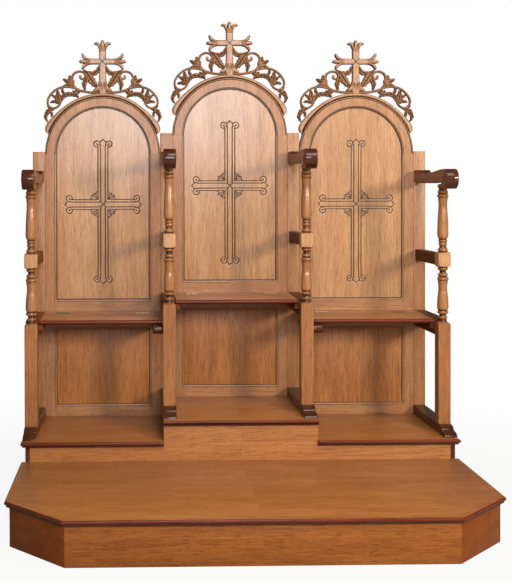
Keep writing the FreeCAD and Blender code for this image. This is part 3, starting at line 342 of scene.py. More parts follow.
BRONZED = metal("bronzed steel", (0.24, 0.16, 0.10), (0.15, 0.10, 0.065))
STEEL = metal("plain steel", (0.62, 0.60, 0.57), (0.45, 0.42, 0.38))

for leaf_node in ["hinge_fixed_leaves", *sides("hinge_leaves_")]:
    dress(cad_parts[leaf_node].data, BRONZED)
print("metals", BRONZED.name, STEEL.name)

# %% [markdown]
# ## Eased boards
#
# A planed board has no knife edges: a joiner takes a little off every arris.  The plain boards
# are copied from the model, merged, and their sharp edges rounded, so that light catches them
# and the joints between them read as fine lines.  The nosings keep the model's own moulding;
# their flat tops belong to the deck, and only their rounded edges are stained; painted shade
# makes their undersides darkest.

# %% Ease every plain board
BODY_OF = {stem + side: "seat_body_" + side
           for stem in ("seat_", "seat_lipping_") for side in SIDES}
MERGE = 2e-5                             # closer points become one, in metres
FLAT, SHARP = 0.01, 0.6                  # flatter edges go, sharper ones are eased, in radians
UNDERSIDE, TOPSIDE = -0.12, 0.9          # how a face or point is tilted, as its normal's z


def keep_recess(mesh, values):
    """Keep a number for each point of a mesh: how much painted shade, and joint darkening, it
    takes.
    """
    mesh.attributes.new("recess", "FLOAT", "POINT").data.foreach_set(
        "value", np.asarray(values, np.float32))


def eased_board(node, ease, *materials):
    """A copy of a solid's mesh with its triangles merged and its sharp edges rounded."""
    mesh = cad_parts[node].data.copy()
    mesh.name = "eased_" + node
    dress(mesh, *materials)
    work = bmesh.new()
    work.from_mesh(mesh)
    bmesh.ops.remove_doubles(work, verts=work.verts, dist=MERGE)
    bmesh.ops.dissolve_limit(work, angle_limit=FLAT, verts=work.verts, edges=work.edges)
    if ease:
        sharp = [edge for edge in work.edges
                 if len(edge.link_faces) == 2 and edge.calc_face_angle() > SHARP]
        bmesh.ops.bevel(work, geom=sharp, offset=ease * MM, segments=3, profile=0.5,
                        affect="EDGES", clamp_overlap=True)
    bmesh.ops.recalc_face_normals(work, faces=work.faces)
    for face in work.faces:
        face.smooth = True
        face.material_index = int(len(materials) > 1 and face.normal.z > TOPSIDE)
    work.to_mesh(mesh)
    if "nosing" in node or "lipping" in node:
        # Painted shade on the undersides of nosings and lippings.
        keep_recess(mesh, [0.6 * (vertex.normal.z < UNDERSIDE) for vertex in work.verts])
    work.free()
    mesh.set_sharp_from_angle(angle=math.radians(28))
    made = link(mesh.name, mesh)
    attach(made, BODY_OF.get(node, "root"))
    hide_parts(node)


BOARDS = [                               # finish, how far the edges are eased in mm, solids
    (OAK_DECK, 0.5, ["dais_deck", *sides("deck_")]), (OAK_DECK, 1.2, sides("seat_")),
    (OAK_FRONT, 1.2, ["dais_front_board"]), (OAK_SHADED_CHAMFER, 1.2, ["dais_chamfer_boards"]),
    (OAK_STEP, 1.2, ["floor_front_board"]), (OAK_SIDE, 1.2, ["dais_side_boards"]),
    (OAK_SIDE, 0, ["floor_cross_boards"]), (DARK_DEPTH, 1.2, ["floor_side_boards"]),
    (DARK_LEVEL, 0, ["dais_nosing", "deck_nosing", *sides("seat_lipping_")]),
    (OAK_UPRIGHT, 2.5, ["back_posts_outer", "back_posts_inner"]),
    (OAK_LEVEL, 1.2, ["hinge_strips"]), (OAK_DEPTH, 3.0, ["elbow_rails"]),
    (OAK_DEPTH, 2.5, ["seat_rails"]), (OAK_DEPTH, 1.2, ["seat_ledges"]),
    (OAK_LOWER, 1.2, sides("lower_panel_")), (PINE_BEARER, 0, ["floor_joists"]),
    (PINE_BOARD, 1.2, ["floor_back_board", "dais_back_board"])]
for material, ease, nodes in BOARDS:
    for node in nodes:
        eased_board(node, ease, material, *([OAK_DECK] if "nosing" in node else []))

# %% [markdown]
# ## Surfaces from rings of points
#
# Every turned, carved or moulded piece is a skin over rings of points: a table of places
# with one row for each ring.  A turned post's rings lie one above the other; a moulding's are
# one section carried along a path.  The class joins the rings with four-sided faces, closes
# both ends, and turns the faces outward by the sign of the volume.

# %% Skins over rings
def spokes(angle):
    """Unit directions at the given angles."""
    return np.stack([np.cos(angle), np.sin(angle)], axis=-1)


def raised(flat, third):
    """Places in a plane with a third coordinate, the same for all or a table of them."""
    return np.concatenate([flat, np.broadcast_to(third, flat.shape[:-1])[..., None]], axis=-1)


def kept(values, low=0.0, high=1.0):
    """How far values have gone from low to high, kept from 0 to 1."""
    return np.clip((values - low) / (high - low), 0, 1)


class Piece:
    """Closed skins gathered into one object that stands in for solids of the model."""

    def __init__(self, name, *materials):
        self.name, self.materials = name, materials
        self.points, self.recess, self.faces, self.choice = [], [], [], []
        self.count = 0

    def skin(self, carved, place=(0.0, 0.0, 0.0), material=0):
        """Cover rings set down at a place, and close both ends.

        carved holds the rings, (rings, places, xyz) in metres, and how much painted shade, and
        joint darkening, each point takes.  material is one number, or one for each gap between
        rings."""
        rings, recess = carved
        rows, across = rings.shape[:2]
        points = (rings + place).reshape(-1, 3)
        spot = np.arange(rows * across).reshape(rows, across)
        after = np.roll(spot, -1, axis=1)
        quads = np.stack([spot[:-1], after[:-1], after[1:], spot[1:]], axis=-1).reshape(-1, 4)
        corner = points[quads] - points.mean(axis=0)
        volume = np.einsum("ij,ij->i", corner[:, 0] - corner[:, 2],
                           np.cross(corner[:, 1], corner[:, 3])).sum()
        ends = [spot[0][::-1], spot[-1]]
        if volume < 0:
            quads, ends = quads[:, ::-1], [end[::-1] for end in ends]
        self.points.append(points)
        self.recess.append(np.broadcast_to(recess, (rows, across)).reshape(-1))
        self.faces += (quads + self.count).tolist() + [(end + self.count).tolist() for end in ends]
        gaps = np.broadcast_to(material, rows - 1)
        self.choice += np.repeat(gaps, across).tolist() + [int(gaps[0]), int(gaps[-1])]
        self.count += rows * across

    def build(self, *nodes, body="root", angle=32):
        """Make the object, let it ride on its body and take the place of its solids."""
        mesh = bpy.data.meshes.new(self.name)
        mesh.from_pydata(np.concatenate(self.points), [], self.faces)
        dress(mesh, *self.materials)
        mesh.polygons.foreach_set("material_index", self.choice)
        keep_recess(mesh, np.concatenate(self.recess))
        mesh.polygons.foreach_set("use_smooth", [True] * len(mesh.polygons))
        mesh.set_sharp_from_angle(angle=math.radians(angle))
        made = link(self.name, mesh)
        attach(made, body)
        if nodes:
            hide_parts(*nodes)


def mirrored(carved):
    """The left hand of a right-hand piece."""
    rings, recess = carved
    return rings * [-1, 1, 1], recess


print("spokes", spokes(np.arange(2.0)).round(2).tolist())

# %% [markdown]
# ## Turned front posts
#
# A turner starts from a square length and cuts it to a radius that changes with height.  What
# remains at each height and angle is the smaller reach, that of the square or of the lathe,
# so the shoulders of the square blocks come out by themselves.  Each member of the turning
# runs to a height and a radius, and bulges on the way: outward for a bead, inward for a cove.

# %% The turner's list
TURNING = [                     # height above the floor of the place, radius, bulge, in mm
    (42, 39.6, 0), (494, 39.6, 0), (503, 25, 4), (506, 21, 0), (520, 17, -3), (523, 19, 0),
    (529, 19, 2.5), (532, 16.5, 0), (542, 16.5, -1), (545, 22, 0), (556, 22, 3.5), (559, 21, -0.5),
    (582, 25.5, 1.8), (650, 20, 1.2), (693, 23, -1.6), (697, 21.5, -0.5), (712, 21.5, 4),
    (715, 18.5, -0.5), (729, 19.5, 3.5), (731, 15.3, 0), (742, 15.3, -1), (745, 20.5, 0),
    (756, 20.5, 3), (758, 22, -0.5), (767, 39.6, 3.5), (819, 39.6, 0), (828, 22, 3.5),
    (830, 20.5, 0), (843, 20.5, 2.5), (846, 18, -0.5), (857, 16, -1.5), (860, 17.5, 0),
    (870, 17.5, 2), (873, 16.5, 0), (883, 18, 3.5), (886, 17.5, -0.5), (916, 25, 2.6),
    (1027, 19.8, 1.0), (1076, 22.3, -1.6), (1079, 21.5, -0.5), (1093, 22, 4), (1096, 20, -0.5),
    (1108, 21.5, 3.5), (1111, 20, 0), (1122, 20.5, -2), (1125, 22.5, 0), (1134, 22.5, 2),
    (1137, 21, 0), (1140, 21, 0)]


def lathe_line():
    """Heights and radii along the whole turning, closer together on the mouldings."""
    heights, radii = [[height] for height in TURNING[0][:2]]
    for height, radius, bulge in TURNING[1:]:
        steps = 1 if bulge == 0 else int(np.clip((height - heights[-1]) / 1.6, 6, 16))
        share = np.arange(1, steps + 1) / steps
        low, inner = heights[-1], radii[-1]
        heights += list(low + (height - low) * share)
        radii += list(inner + (radius - inner) * share + bulge * np.sin(np.pi * share))
    return np.array(heights) * MM, np.array(radii) * MM


def turned_rings(heights, radii, half, steps=96):
    """Rings of a square length, cut back wherever the lathe reaches further in."""
    angle = np.arange(steps) * 2 * np.pi / steps
    square = half / np.maximum(np.abs(np.cos(angle)), np.abs(np.sin(angle)))
    reach = np.minimum(square[None, :], radii[:, None])
    return raised(reach[..., None] * spokes(angle), heights[:, None])


def near_average(values, heights, reach):
    """The average of values over a reach of height on both sides of each."""
    fine = np.arange(heights[0], heights[-1], MM)
    width = int(reach / MM)
    padded = np.pad(np.interp(fine, heights, values), width, mode="edge")
    smooth = np.convolve(padded, np.ones(2 * width + 1) / (2 * width + 1), mode="valid")
    return np.interp(heights, fine, smooth)


NECK, NEAR, FULL = 26 * MM, 11 * MM, 2.2 * MM       # a hollow lies inside its surroundings
heights, radii = lathe_line()
# Coves of the turning take painted shade: the deeper a cove lies inside its surroundings, the
# darker.
hollow = kept(near_average(np.minimum(radii, NECK), heights, NEAR) - radii, 0.0, FULL)
post_rings = turned_rings(heights, radii, POST_HALF)
middles = (heights[1:] + heights[:-1]) / 2 / MM
LEG_WOOD, BLOCK_WOOD, VASE_SHEEN_WOOD = 1, 2, 3
wood = np.select([middles < 500, (middles > 762) & (middles < 824),
                  (middles > 568) & (middles < 688) | (middles > 896) & (middles < 1070)],
                 [LEG_WOOD, BLOCK_WOOD, VASE_SHEEN_WOOD], 0)
for line in LINES:
    post = Piece("turned_post_" + line, OAK_TURNED, OAK_LEG, OAK_BLOCK, OAK_VASE_SHEEN)
    post.skin((post_rings, hollow[:, None]), [LINE_X[line], POST_Y, LINE_FLOOR[line]], wood)
    post.build("front_post_" + line)
print("post rings", post_rings.shape)

# %% [markdown]
# ## Smooth lines and sawn outlines
#
# Arms, sledge feet and brackets are sawn to a side view and then eased along both edges.
# Each ring repeats the side view a little further across the piece, drawn in towards its
# middle near the two faces.  One ring sunk below a face leaves a fine groove along the edge.

# %% Lines and outlines
def smooth_line(places, steps):
    """Evenly spaced places on a smooth curve (a Catmull-Rom spline) through the given ones."""
    knots = np.array(places, float)
    padded = np.vstack([2 * knots[0] - knots[1], knots, 2 * knots[-1] - knots[-2]])
    share = np.linspace(0, 1, 24, endpoint=False)[:, None]
    curve = [0.5 * (2 * b + (c - a) * share + (2 * a - 5 * b + 4 * c - d) * share ** 2
                    + (3 * b - a - 3 * c + d) * share ** 3)
             for a, b, c, d in zip(padded, padded[1:], padded[2:], padded[3:])]
    curve = np.vstack(curve + [knots[-1:]])
    run = np.concatenate([[0], np.cumsum(np.linalg.norm(np.diff(curve, axis=0), axis=1))])
    even = np.linspace(0, run[-1], steps)
    return np.stack([np.interp(even, run, column) for column in curve.T], axis=1)


def circle_line(centre, radius, start, end, steps):
    """Places on an arc, with its angles in degrees."""
    return np.array(centre) + radius * spokes(np.radians(np.linspace(start, end, steps)))


def beside(run):
    """Unit directions a quarter turn to the left of the given ones."""
    run = run / np.maximum(np.linalg.norm(run, axis=1), 1e-9)[:, None]
    return np.stack([-run[:, 1], run[:, 0]], axis=1)


def widened(path, half, share):
    """A table of places: along a path, and across it by a share of its half width."""
    aside = beside(np.gradient(path, axis=0))
    return path[:, None] + aside[:, None] * (share[:, None] * half[:, None, None])


EDGE = [(0.0, 7.2), (0.0, 6.2), (1.3, 5.4), (0.0, 4.6), (0.0, 3.0), (0.5, 1.3), (1.3, 0.45),
        (3.0, 0.0)]


def sawn_rings(outline, width, edge=EDGE):
    """Rings of a sawn outline (forward, up), eased by (across, drawn in) pairs at both faces."""
    after = np.roll(outline, -1, axis=0)
    area = np.sum(outline[:, 0] * after[:, 1] - after[:, 0] * outline[:, 1])
    loop = outline if area > 0 else outline[::-1]
    inward = beside(np.roll(loop, -1, axis=0) - np.roll(loop, 1, axis=0))
    both = edge + [(width - across, drawn) for across, drawn in reversed(edge)]
    rings, grooved = [], []
    for across, drawn in both:
        flat = loop + inward * drawn
        rings.append(np.column_stack([np.full(len(flat), across - width / 2), -flat[:, 0],
                                      flat[:, 1]]))
        # The ring sunk below a face marks its groove with painted shade.
        grooved.append([0.9 if across not in (0, width) and drawn > 4 else 0.0])
    return np.array(rings) * MM, np.array(grooved)


def side_choice(rings):
    """Which gaps between rings belong to the sawn sides: 1 there, 0 on the rounded outline."""
    gaps, count = len(rings) - 1, len(EDGE) - 3
    return np.array([int(i < count or i >= gaps - count) for i in range(gaps)])


print("edge of a sawn piece", len(EDGE), "rings")

# %% [markdown]
# ## Dark rolled arms
#
# An arm rests on a front post.  Its tail meets the back, its top dips behind a rounded nose,
# and its front end rolls over.  A raised spiral is carved on both faces of the roll.

# %% Arms
ARM_WIDTH = 54.0
ROLL_CENTRE = (481.0, 1162.5)
ROLL_RADIUS = 45.0


def arm_outline():
    """The side view: the roll, then the top back to the tail, then the underside."""
    roll = circle_line(ROLL_CENTRE, ROLL_RADIUS, -144, 92, 44)
    top = smooth_line([(440, 1207), (400, 1205), (337, 1200), (275, 1195), (205, 1190),
                       (165, 1189), (134, 1192), (112, 1199)], 30)
    nose = smooth_line([(104, 1204), (94, 1209), (80, 1212), (64, 1212)], 8)
    under = smooth_line([(0, 1158), (40, 1157), (84, 1151), (150, 1146), (250, 1146),
                         (352, 1150), (400, 1150), (424, 1147), (438, 1140)], 34)
    return np.vstack([roll, top, nose, [(0, 1212)], under])


def ridge_rings(path, half, rise):
    """A rounded ridge along a path in the plane (forward, up), standing out by rise."""
    angle = np.linspace(0, np.pi, 8)
    out = np.concatenate([np.sin(angle) * rise, [-SUNK, -SUNK]])
    return raised(widened(path, half, np.concatenate([np.cos(angle), [-1, 1]])), out)


SUNK = 2.0                                # how far a ridge's back lies in the wood
# How much painted shade each row of a ridge takes: most at its feet.
RIDGE_FOOT = np.array([1, 0.9, 0, 0, 0, 0, 0.9, 1, 1, 1.0])
turn = np.linspace(0, 1, 90)
spiral = (37 - 28 * turn ** 0.85)[:, None] * spokes(np.radians(105 - 560 * turn))
spiral = np.array(ROLL_CENTRE) + spiral
volute = ridge_rings(spiral, np.linspace(4.2, 3.0, 90), 1.9)
volute_line = ridge_rings(spiral, np.linspace(7.4, 5.2, 90), 0.35)
button = ridge_rings(circle_line(ROLL_CENTRE, 0.1, 0, 340, 12), np.full(12, 7.0), 1.6)
sawn_arm = sawn_rings(arm_outline(), ARM_WIDTH)
for line in LINES:
    place = [LINE_X[line], FACE_Y, LINE_FLOOR[line]]
    arm = Piece("rolled_arm_" + line, DARK_DEPTH, DARK_SIDE)
    arm.skin(sawn_arm, place, side_choice(sawn_arm[0]))
    for side in (-1, 1):
        # Painted shade at the feet of the spiral's ridges and along the faint line round it.
        for ridge, ridge_shade in ((volute, RIDGE_FOOT), (button, RIDGE_FOOT), (volute_line, 1.0)):
            forward, up, out = np.moveaxis(ridge, -1, 0)
            face = side * (ARM_WIDTH / 2 + out)
            arm.skin((np.stack([face, -forward, up], axis=-1) * MM, ridge_shade), place, 1)
    arm.build("arm_" + line)
print("arm rings", sawn_arm[0].shape)

# %% [markdown]
# ## Hinge screws
#
# Each hinge leaf is held by two countersunk screws.  A screw is a shallow dome with a slot
# across it.  Those on a seat's own leaves ride with the seat.

# %% Screws
def screw_rings(radius=3.4, rise=0.7, sink=1.2, around=24):
    """A countersunk head about its own middle, in mm: (x, y, up)."""
    reach = radius * np.array([0.75, 1.0, 1.0, 0.93, 0.78, 0.52, 0.26, 0.02])
    level = np.array([-sink, -0.3, 0.0, 0.45, 0.75, 0.92, 1.0, 1.0])[:, None] * rise
    flat = reach[:, None, None] * spokes(np.linspace(0, 2 * np.pi, around, endpoint=False))
    slot = (np.abs(flat[..., 1]) < 0.55) & (level > 0.5)
    # The slot is marked with painted shade.
    return raised(flat, np.where(slot, level - 0.6, level)) * MM, slot * 0.8


LEAF_LENGTH, LEAF_THICK = 64.0, 1.6
LEAF_ROW, STRIP_ROW, APART = 9 * MM, 11.5 * MM, 20         # rows of screws on both leaves
strip_screws = Piece("strip_screws", STEEL)
for side in SIDES:
    low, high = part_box("hinge_leaves_" + side)
    reach = (high.x - low.x) / 2 - LEAF_LENGTH / 2 * MM
    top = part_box("seat_" + side)[1].z + LEAF_THICK * MM
    screws = Piece("leaf_screws_" + side, STEEL)
    for hand in (-1, 1):
        for shift in (-APART, APART):
            across = MIDDLE[side] + hand * reach + shift * MM
            screws.skin(screw_rings(), [across, low.y + LEAF_ROW, top])
            strip_screws.skin(screw_rings(), [across, high.y + STRIP_ROW, top])
    screws.build(body="seat_body_" + side)
strip_screws.build()
print("screws, points on the strips", strip_screws.count)

# %% [markdown]
# ## Sledge feet and seat brackets
#
# A post stands on a sledge foot whose toe falls away in an ogee.  Under the inner end of each
# outer seat a bracket with a rolled front runs out from the back.

# %% Feet and brackets
FOOT_WIDTH = 2 * POST_HALF / MM
PLAIN_EDGE = [(0.0, 2.6), (0.5, 1.0), (1.4, 0.3), (3.0, 0.0)]


def foot_outline():
    """The side view of a foot: flat on top, then a swell and a hollow down to the toe."""
    swell = smooth_line([(406, 42), (424, 40.5), (440, 35), (450, 27)], 14)
    hollow_toe = smooth_line([(452, 22.5), (470, 21.5), (486, 18), (497, 10), (503, 1)], 18)
    return np.vstack([[(0, 42), (398, 42)], swell, hollow_toe, [(503, 0), (0, 0)]])


feet = Piece("sledge_feet", DARK_DEPTH)
for line in LINES:
    feet.skin(sawn_rings(foot_outline(), FOOT_WIDTH, PLAIN_EDGE),
              [LINE_X[line], FACE_Y, LINE_FLOOR[line]])
feet.build("floor_runners")

bracket_low, bracket_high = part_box("seat_brackets")
BRACKET_REACH = (FACE_Y - bracket_low.y) / MM
BRACKET_TALL = (bracket_high.z - bracket_low.z) / MM
BRACKET_WIDE = 46.0


def bracket_outline():
    """The side view of a bracket: a bar that dips a little and ends in a roll."""
    radius = BRACKET_TALL * 0.38
    centre = (BRACKET_REACH - radius, BRACKET_TALL - radius)
    dip = smooth_line([(BRACKET_REACH - 80, 8), (BRACKET_REACH - 55, 11),
                       (BRACKET_REACH - 36, 10)], 8)
    return np.vstack([[(0, 0), (BRACKET_REACH - 130, 0)], dip,
                      circle_line(centre, radius, -100, 90, 26), [(0, BRACKET_TALL)]])


brackets = Piece("rolled_brackets", DARK_DEPTH)
for middle_x in (bracket_low.x + BRACKET_WIDE * MM / 2, bracket_high.x - BRACKET_WIDE * MM / 2):
    brackets.skin(sawn_rings(bracket_outline(), BRACKET_WIDE), [middle_x, FACE_Y, bracket_low.z])
brackets.build("seat_brackets")
print("points of feet and brackets", feet.count, brackets.count)

# %% [markdown]
# ## The framed backs
#
# A back is two stiles, two rails and a round head, all moulded along the edge that faces a
# panel.  How deep the moulding has cut depends only on the distance to the opening.  In a
# corner that distance is the larger of the two, which draws a true mitre.

# %% The moulding
OPENING = 228.0                          # half the width between the stiles
TONGUE = 8.0                             # a panel's tongue in its groove
MOULD_WIDE, QUIRK = 9.0, 9.5             # how wide the ogee is, and where its small step ends
frame_low, frame_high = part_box("back_stiles_centre")
FRAME_THICK = (frame_high.y - frame_low.y) / MM
STEPS = np.array([0, 0.6, 1.5, 3, 4.6, 6.2, 7.6, 8.8, 9.0, 9.9, 10.4, 12.0])


def mould_depth(distance):
    """How far the surface lies behind the frame's face, at a distance from the opening."""
    share = kept(1 - distance / MOULD_WIDE)
    return np.where(distance < QUIRK, 1.3 + 5.4 * (1 - np.sqrt(1 - share ** 2)), 0.0)


def quirk_shade(distance):
    """1 at the small step of the moulding and at the panel: painted shade in these creases."""
    step = kept(1.3 - np.abs(distance - 9.3) / 1.4)
    return kept(step + kept(1.5 - distance / 2.4))


def backed(front, third, marks, back, back_mark=0.0):
    """Rings of a carved face, closed by two columns of points on its back."""
    rear = front[:, [-1, 0]]
    marks = np.broadcast_to(marks, front.shape[:2])
    return (np.concatenate([raised(front, third), raised(rear, back)], axis=1),
            np.concatenate([marks, np.full(rear.shape[:2], back_mark)], axis=1))


def member(front, depth, marks, thick):
    """Rings of a board whose front is cut: front holds (rows, columns, xz), in mm."""
    rings, marks = backed(front, depth, marks, thick)
    return rings[..., [0, 2, 1]] * MM, marks


print("moulding", mould_depth(STEPS).round(1).tolist())

# %% Stiles, rails and heads
JOINT = 0.9                              # the stain of a joint


def stile_rings(bottom, lower, sill, top):
    """A stile from floor to springing, right-hand, x from the middle of the stall."""
    edges = np.concatenate([[0], bottom - STEPS[::-1], lower + STEPS, sill - STEPS[::-1],
                            [top - 0.8, top]])
    across = np.concatenate([OPENING + STEPS, [ARCH_OUTER - 1.2, ARCH_OUTER]])
    x, z = np.meshgrid(across, edges)
    distance = np.maximum(x - OPENING, np.maximum(bottom - z, np.minimum(z - lower, sill - z)))
    depth = mould_depth(distance) + np.where(x > ARCH_OUTER - 0.6, 1.2, 0)
    marks = np.maximum(quirk_shade(distance), JOINT * (z > top - 0.5))
    return member(np.stack([x, z], axis=-1), depth, marks, FRAME_THICK)


def rail_rings(low, high):
    """A rail between the stiles, moulded along the edges that face a panel, not at the floor."""
    edges = np.concatenate([low + STEPS, high - STEPS[::-1]])
    x, z = np.meshgrid(np.array([-OPENING, -OPENING + 0.5, OPENING - 0.5, OPENING]), edges)
    distance = np.minimum(high - z, z - low if low else high)
    marks = np.maximum(quirk_shade(distance), JOINT * (np.abs(x) > OPENING - 0.25))
    return member(np.stack([x, z], axis=-1), mould_depth(distance), marks, FRAME_THICK)


def head_rings():
    """The round head: one section carried round half a circle."""
    rim = np.array([10.0, 9.0, 8.0, 7.0, 6.0, 4.6, 3.2, 2.0, 1.0, 0.0])
    bead = np.array([0, 1.6, 2.4, 1.4, 0.3, 0.0, 0.5, 1.3, 2.3, 3.6])
    shaded = 0.62 * ((STEPS > 1.0) & (STEPS < 8.5))              # painted shade in the hollow of the ogee, which faces down
    # The groove of the bead and the outer edge of the head, beside the crest's band, take painted
    # shade.
    marks = np.concatenate([np.maximum(quirk_shade(STEPS), shaded),
                            [0, 0.9, 1, 1, 0.8, 0, 0, 0.8, 1, 1]])
    reach = np.concatenate([OPENING + STEPS, ARCH_OUTER - rim])
    degrees = np.concatenate([[0, 0.1], np.linspace(1.5, 178.5, 119), [179.9, 180]])
    front = reach[None, :, None] * spokes(np.radians(degrees))[:, None, :]
    joint = JOINT * ((degrees == 0) | (degrees == 180))
    return member(front, np.concatenate([mould_depth(STEPS), bead]),
                  np.maximum(marks, joint[:, None]), FRAME_THICK)


for side in SIDES:
    floor = FLOOR[side] / MM
    lower_low, lower_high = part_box("lower_panel_" + side)
    bottom, lower = lower_low.z / MM + TONGUE - floor, lower_high.z / MM - TONGUE - floor
    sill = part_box("upper_panel_" + side)[0].z / MM + TONGUE - floor
    place = [MIDDLE[side], FACE_Y, FLOOR[side]]
    stiles = Piece("moulded_stiles_" + side, OAK_UPRIGHT)
    stile = stile_rings(bottom, lower, sill, (SPRING[side] - FLOOR[side]) / MM)
    stiles.skin(stile, place)
    stiles.skin(mirrored(stile), place)
    stiles.build("back_stiles_" + side)
    rails = Piece("moulded_rails_" + side, OAK_LEVEL)
    rails.skin(rail_rings(0, bottom), place)
    rails.skin(rail_rings(lower, sill), place)
    rails.build("back_rails_" + side)
    head = Piece("moulded_head_" + side, OAK_UPRIGHT)
    head.skin(head_rings(), [MIDDLE[side], FACE_Y, SPRING[side]])
    head.build("arch_head_" + side)
print("openings", round(bottom), round(lower), round(sill))

# %% [markdown]
# ## Upper panels with an incised cross
#
# The cross is a set of V-shaped cuts.  The panel's face is a table of heights: each place lies
# as deep as its distance to the nearest cut allows.  The table is fine only where the cross
# has its curls and leaves.  An arm of the cross is a strap between two lines.  At the end the
# inner line rolls outward round an eye, and the straps meet in a small pointed arch.

# %% The cut lines of the cross
CROSS_BAR = -250.0                       # the crossing, from the springing of the arch, in mm
CROSS_ENDS = ((0, 1, 322.0), (0, -1, 393.0), (1, 0, 189.0), (-1, 0, 189.0))
STRAP_OUTER, STRAP_INNER = 24.5, 12.0
EYE_ASIDE, EYE_BACK, CURL_RADIUS = 30.0, 22.0, 15.0
CUT_HALF, CUT_DEPTH = 3.0, 2.6


def end_lines(length):
    """Cut lines of one arm's right-hand half, as (aside, along) from the crossing."""
    eye = (EYE_ASIDE, length - EYE_BACK)
    inner = [(STRAP_INNER, STRAP_INNER), (STRAP_INNER, length - 32),
             (STRAP_INNER + 0.6, length - 26), *circle_line(eye, CURL_RADIUS, 205, -100, 22)]
    outer = [(STRAP_OUTER, STRAP_OUTER), (STRAP_OUTER, length - 37),
             (STRAP_OUTER + 1, length - 27), (EYE_ASIDE - 1, length - 22)]
    arch = smooth_line([(STRAP_INNER + 1.5, length - 14), (10, length - 8), (5, length - 5),
                        (0, length + 1)], 8)
    return [np.array(inner), np.array(outer), arch, circle_line(eye, 1.5, 0, 360, 7)]


def corner_lines():
    """The leaf spray in the upper right-hand corner of the crossing: lobes, then veins."""
    return [smooth_line(line, 9) for line in (
        [(66, STRAP_OUTER), (58, 31), (55, 38), (58, 45)],
        [(58, 45), (50, 47), (44, 44), (41, 48)],
        [(41, 48), (42, 54), (35, 57), (29, 61), (STRAP_OUTER, 68)],
        [(27, 27), (34, 33), (43, 36), (50, 38)], [(27, 27), (31, 37), (34, 44), (34, 50)])]


def cross_segments():
    """Every cut of the cross as short straight pieces, around the crossing."""
    lines = [STRAP_INNER * np.array([(-1, -flip), (1, flip)]) for flip in (1, -1)]
    for ahead_x, ahead_z, length in CROSS_ENDS:
        for line in end_lines(length):
            for hand in (-1, 1):
                aside, forth = line[:, 0] * hand, line[:, 1]
                lines.append(np.stack([aside * ahead_z + forth * ahead_x,
                                       forth * ahead_z + aside * ahead_x], axis=1))
    for line in corner_lines():
        lines += [line * flip for flip in ((1, 1), (-1, 1), (1, -1), (-1, -1))]
    return np.vstack([line[:-1] for line in lines]), np.vstack([line[1:] for line in lines])


def distance_to(places, starts, ends):
    """Distance from each place to the nearest of the straight pieces."""
    nearest = np.full(len(places), 1e9)
    for start, run in zip(starts, ends - starts):
        offset = places - start
        share = kept(offset @ run / max(run @ run, 1e-9))
        nearest = np.minimum(nearest, np.linalg.norm(offset - share[:, None] * run, axis=1))
    return nearest


print("cuts", len(cross_segments()[0]))

# %% The panels as tables of heights
def stops(*stretches):
    """Table lines over stretches of (start, end, spacing)."""
    marks = [np.linspace(a, b, max(2, round((b - a) / gap) + 1)) for a, b, gap in stretches]
    return np.unique(np.round(np.concatenate(marks), 3))


panel_low, panel_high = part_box("upper_panel_centre")
PANEL_HALF = (panel_high.x - panel_low.x) / 2 / MM
PANEL_FRONT, PANEL_THICK = panel_low.y, (panel_high.y - panel_low.y) / MM
half_lines = stops((0, 70, 1.4), (70, 139, 9), (139, 192, 1.5), (192, 216, 8),
                   (216, PANEL_HALF, 2.5))
PANEL_ACROSS = np.unique(np.concatenate([-half_lines, half_lines]))


def panel_rings(side):
    """The panel's face, and two columns of points on its back."""
    bottom = (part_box("upper_panel_" + side)[0].z - SPRING[side]) / MM
    up = stops((bottom, bottom + 20, 2.5), (bottom + 20, CROSS_BAR - 396, 9),
               *((CROSS_BAR + start, CROSS_BAR + end, gap) for start, end, gap in (
                   (-396, -345, 1.5), (-345, -70, 9), (-70, 70, 1.4), (70, 274, 9),
                   (274, 326, 1.5))), (CROSS_BAR + 326, PANEL_HALF - 0.2, 5))
    half = np.sqrt(PANEL_HALF ** 2 - np.maximum(up, 0) ** 2)
    x = PANEL_ACROSS[None, :] * (half / PANEL_HALF)[:, None]
    z = np.broadcast_to(up[:, None], x.shape)
    places = np.stack([x, z - CROSS_BAR], axis=-1).reshape(-1, 2)
    cut = kept(1 - distance_to(places, *cross_segments()) / CUT_HALF).reshape(x.shape)
    to_frame = np.where(z > 0, OPENING - np.hypot(x, z),
                        np.minimum(OPENING - np.abs(x), z - bottom - TONGUE))
    # Painted shade in the cuts of the cross and along the panel's edge beside the frame.
    marks = kept(np.maximum(cut * 2.4, 1.7 - to_frame / 2.2))
    return member(np.stack([x, z], axis=-1), cut * CUT_DEPTH, marks, PANEL_THICK)


for side in SIDES:
    panel = Piece("incised_panel_" + side, OAK_PANEL)
    panel.skin(panel_rings(side), [MIDDLE[side], PANEL_FRONT, SPRING[side]])
    panel.build("upper_panel_" + side, angle=60)
print("points of a panel", panel.count)

# %% [markdown]
# ## Carved crests
#
# A crest is pierced work: stems that curl, leaves that fan out from them and a cross with
# three-lobed ends.  Each stem and leaf is a strip of two parameters, one along its spine and
# one across it.  Across, the strip is crowned, with a cut along the middle; along, a leaf's
# edge swells into lobes and its surface into ribs.  The right-hand half is mirrored.

# %% Strips for stems and leaves
crest_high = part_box("crest_centre")[1]
BAND_OUTER = ARCH_OUTER + 18.0
CREST_TOP = (crest_high.z - SPRING["centre"]) / MM
CROSS_HALF = 115.0                       # half the span of the cross
BAR_Z = CREST_TOP - 108.0                # the middle of its bar
# The walls of the pierced work take a little painted shade.
WALL_SHADE = 0.12


def strip_rings(spine, half, crown, low, rise, across=13):
    """Rings of a carved strip: (aside, up, out) with out measured from the crest's back."""
    share = np.sin(np.linspace(-np.pi / 2, np.pi / 2, across))
    shape, marks = crown(np.linspace(0, 1, len(spine))[:, None], share)
    return backed(widened(spine, half, share), low + rise * shape, marks, 0.0, WALL_SHADE)


